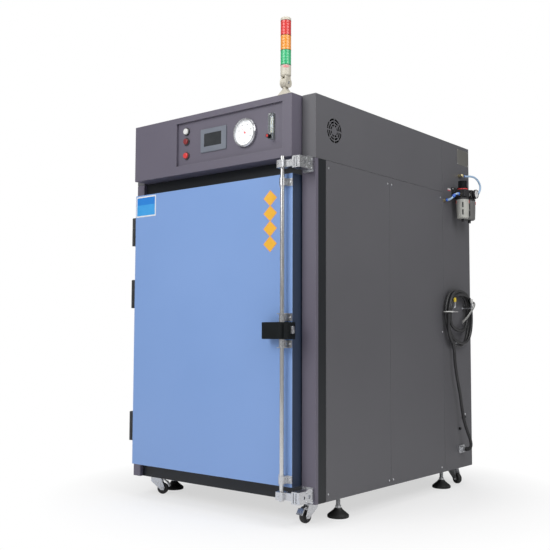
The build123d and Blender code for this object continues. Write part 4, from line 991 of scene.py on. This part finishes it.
def addLockDetail():
    x, front = rodX, (0, -1, 0)
    guide = grid(either(x, lock["wing"]), [lock["guideFace"]], lock["guides"])
    fasteners("guideScrews", "button", guide, front, "door")
    foot = grid([x + dx for dx in lock["footX"]], [lock["footFace"]], either(lock["handle"], lock["footDz"]))
    fasteners("bracketScrews", "button", foot, front, "door", 0.9)
    fasteners("clampScrews", "socket", grid([x], [lock["camFace"]], lock["cams"]), front, "lock", 0.62)
    jaw = [grid([lock["jawRight"]], lock["jawY"], either(z, lock["jawDz"])) for z in lock["cams"]]
    fasteners("keeperScrews", "socket", jaw[0] + jaw[1], (1, 0, 0), size=0.7)
    frameLeaf, doorLeaf = [], []
    for z in hinge["heights"]:
        frameLeaf += grid(hinge["frameX"], [hinge["frameY"]], either(z, hinge["dz"]))
        doorLeaf += grid([hinge["doorX"]], hinge["doorY"], [z - hinge["dz"]])
        doorLeaf.append((hinge["doorX"], hinge["doorY"][1], z + hinge["topDz"]))
    fasteners("frameHingeScrews", "button", frameLeaf, front, "cabinet", 1.1, "black_metal")
    fasteners("doorHingeScrews", "button", doorLeaf, (-1, 0, 0), "door", 1.1, "black_metal")
    caps = [turned("hingeCap", (*hinge["pin"], z + hinge["capDz"]), "z", hinge["cap"], 32)
            for z in hinge["heights"]]
    dress(joinAll("hingeCaps", caps), "black_metal", "door")


# air filter set: ring, tabs, dial and couplings
filterSet = dict(
    x=52, front=1138, rear=1208, ringZ=1361,
    ring=[(23, 0), (25.5, 0.4), (25.5, 5), (24.5, 5.9), (23, 5.9)],
    tab=(6, 9, 15), tabZ=1302, tabRadius=29, tabTurns=(28, 208),
    pane=(1, 6.8, 25.8), paneZ=(1248.4, 1284.5), paneRadius=25.2, paneTurns=(-62, 118),
    gauge=(91.2, 1208, 1346), gaugeFace=[(19.3, 0), (19.3, 0.3), (0.05, 0.35)], gaugeTicks=16,
    tickRadius=16, hand=((91.7, 1207.5, 1343), (92, 1208.5, 1359)),
    spacer=((67, 1173, 1341), "x", [(8, 0), (8, 3.5), (6.8, 5), (0.05, 5)], 28),
    screws=((3,), (1127, 1219), (1332, 1370)),
)


def roundBowls(pattern, name, radius, turns, heights):
    # copies on both bowls, at compass angles about each
    matrices = []
    for y in (filterSet["front"], filterSet["rear"]):
        for way in map(radians, turns):
            at = (filterSet["x"] + radius * cos(way), y + radius * sin(way))
            matrices += [shifted((*at, z), about("Z", way)) for z in heights]
    return copiesAt(pattern, name, matrices)


def gaugeTicks(name, size, steps):
    gx, gy, gz = filterSet["gauge"]
    r = filterSet["tickRadius"]
    matrices = []
    for i in steps:
        turn = radians(135.0 - i * 270.0 / filterSet["gaugeTicks"])
        at = (gx + 0.4, gy + r * sin(turn), gz + r * cos(turn))
        matrices.append(shifted(at, about("X", -turn)))
    return copiesAt(chip((0.2, 0.5, size)), name, matrices)


def addFilterDetail():
    values = filterSet
    at = (values["x"], values["front"], values["ringZ"])
    ring = turned("filterRing", at, "z", values["ring"], 48, True)
    tabs = roundBowls(chip(values["tab"], 1.2), "bowlTabs", values["tabRadius"], values["tabTurns"],
                      (values["tabZ"],))
    dress(joinAll("filterRing", [ring, tabs]), "redPlastic")
    dress(roundBowls(chip(values["pane"], 0.2), "bowlWindows", values["paneRadius"], values["paneTurns"],
                     values["paneZ"]), "printBlack")
    dress(turned("filterDial", values["gauge"], "x", values["gaugeFace"], 40), "dialWhite")
    whole = range(values["gaugeTicks"] + 1)
    marks = [gaugeTicks("mainTicks", 3, whole[::4]),
             gaugeTicks("fineTicks", 1.8, [i for i in whole if i % 4]),
             block("filterHand", *values["hand"])]
    dress(joinAll("filterDialMarks", marks), "printBlack")
    dress(turned("filterSpacer", *values["spacer"]), "white_plastic")
    fasteners("filterScrews", "socket", grid(*values["screws"]), (1, 0, 0), size=0.8)


# running gear: plate bolts, axle nuts, threads of the levelling feet
gear = dict(
    plate=25, plateLow=-3, trail=34, axle=-60.2, nutOut=16, stem=8, threadLow=-38,
    threadTall=0.75,
    pitch=1.75, threads=21, nutZ=-9, nut=[(12, 0), (13, 0.8), (13, 7.8), (12, 8.6), (8.2, 8.6)],
)


def threadRings():
    r, pitch = gear["stem"], gear["pitch"]
    rings = []
    for i in range(gear["threads"]):
        low = gear["threadLow"] + i * pitch
        rings += [(r, low), (r + gear["threadTall"], low + pitch * 0.5)]
    return rings + [(r, gear["threadLow"] + gear["threads"] * pitch)]


def addRunningGear():
    for corner, (x, y, yaw) in casterAt.items():
        way, half = radians(yaw), gear["plate"]
        bolts = grid(either(x, half), either(y, half), [gear["plateLow"]])
        fasteners("plateBolts_" + corner, "hex", bolts, (0, 0, -1), size=0.75)
        ahead, out = Vector((cos(way), sin(way), 0)), Vector((-sin(way), cos(way), 0))
        for side, word in ((-1, "Inner"), (1, "Outer")):
            normal = side * out
            at = Vector((x, y, gear["axle"])) + gear["trail"] * ahead + gear["nutOut"] * normal
            fasteners("axleNut" + word + "_" + corner, "hex", [at], normal, "fork_" + corner, 1.1)
    for corner, (x, y) in footAt.items():
        stem = turned("footThread", (x, y, 0), "z", threadRings(), 24, True)
        nut = turned("footNut", (x, y, gear["nutZ"]), "z", gear["nut"], 6)
        dress(joinAll("footStem_" + corner, [stem, nut]), "zinc", "foot_" + corner)


# the studio
studio = dict(
    key=dict(at=(-900, -3600, 3200), aim=(-500, 200, 800), size=3.2, power=118),
    fill=dict(at=(2500, -300, 3000), aim=(-100, 550, 1300), size=2.4, power=56),
    top=dict(at=(-400, 600, 4200), aim=(-500, 600, 0), size=3.5, power=40),
    ambient=0.26, floorTone=(0.93, 0.93, 0.94), shadowFrom=0.75, shadowTo=1.25, leastWhite=0.62,
)


def addLight(name, at, aim, size, power):
    start, end = spot(*at), spot(*aim)
    bpy.ops.object.light_add(type="AREA", location=start)
    lamp = bpy.context.object
    lamp.name = name
    lamp.data.shape = "DISK"
    lamp.data.size = size
    lamp.data.energy = power
    lamp.rotation_euler = (end - start).to_track_quat("-Z", "Y").to_euler()


def addWorld():
    # what the camera or a pane sees directly is plain white, lit things see the dimmer background
    world = scene.world or bpy.data.worlds.new("studioWorld")
    scene.world = world
    world.use_nodes = True
    tree = Tree(world.node_tree)
    back = world.node_tree.nodes["Background"]
    tree.fill(back, dict(Color=(1, 1, 1, 1), Strength=studio["ambient"]))
    path = tree.add("LightPath").outputs
    seen = tree.maths("MAXIMUM", path["Is Camera Ray"], path["Is Transmission Ray"])["Value"]
    tree.shaderChoice(seen, back.outputs["Background"], tree.add("Emission").outputs["Emission"],
                      world.node_tree.nodes["World Output"].inputs["Surface"])


def addFloor():
    # white all over to the camera but for the object's own shadow near its foot
    bpy.ops.mesh.primitive_plane_add(size=30)
    floor = bpy.context.object
    floor.name = "studioFloor"
    look = Look("studioFloor")
    look.shade(Base_Color=(*studio["floorTone"], 1), Roughness=0.9)
    reach = look.maths("LENGTH", look.where(), kind="VectorMath")["Value"]
    ring = look.ranged(reach, studio["leastWhite"], 1, studio["shadowFrom"], studio["shadowTo"])
    white = look.product(look.add("LightPath").outputs["Is Camera Ray"], ring)
    look.shaderChoice(white, look.shader.outputs["BSDF"], look.add("Emission").outputs["Emission"],
                      look.surface)
    floor.data.materials.append(look.material)


def addStudio():
    addWorld()
    for name in ("key", "fill", "top"):
        addLight(name + "Light", **studio[name])
    addFloor()
    scene.view_settings.view_transform = "Standard"


addCamera()
addHoses()
addCable()
addStudio()
dressCad()
print("camera, cords, studio and CAD finishes in place")
addPanelDetail()
addVentFan()
addPlates()
addDoorLabels()
print("panels and door labels done")
addGauge()
addControls()
addTowerDetail()
print("control panel and tower done")
addLockDetail()
addFilterDetail()
addRunningGear()
print("lock, filter set and running gear done")
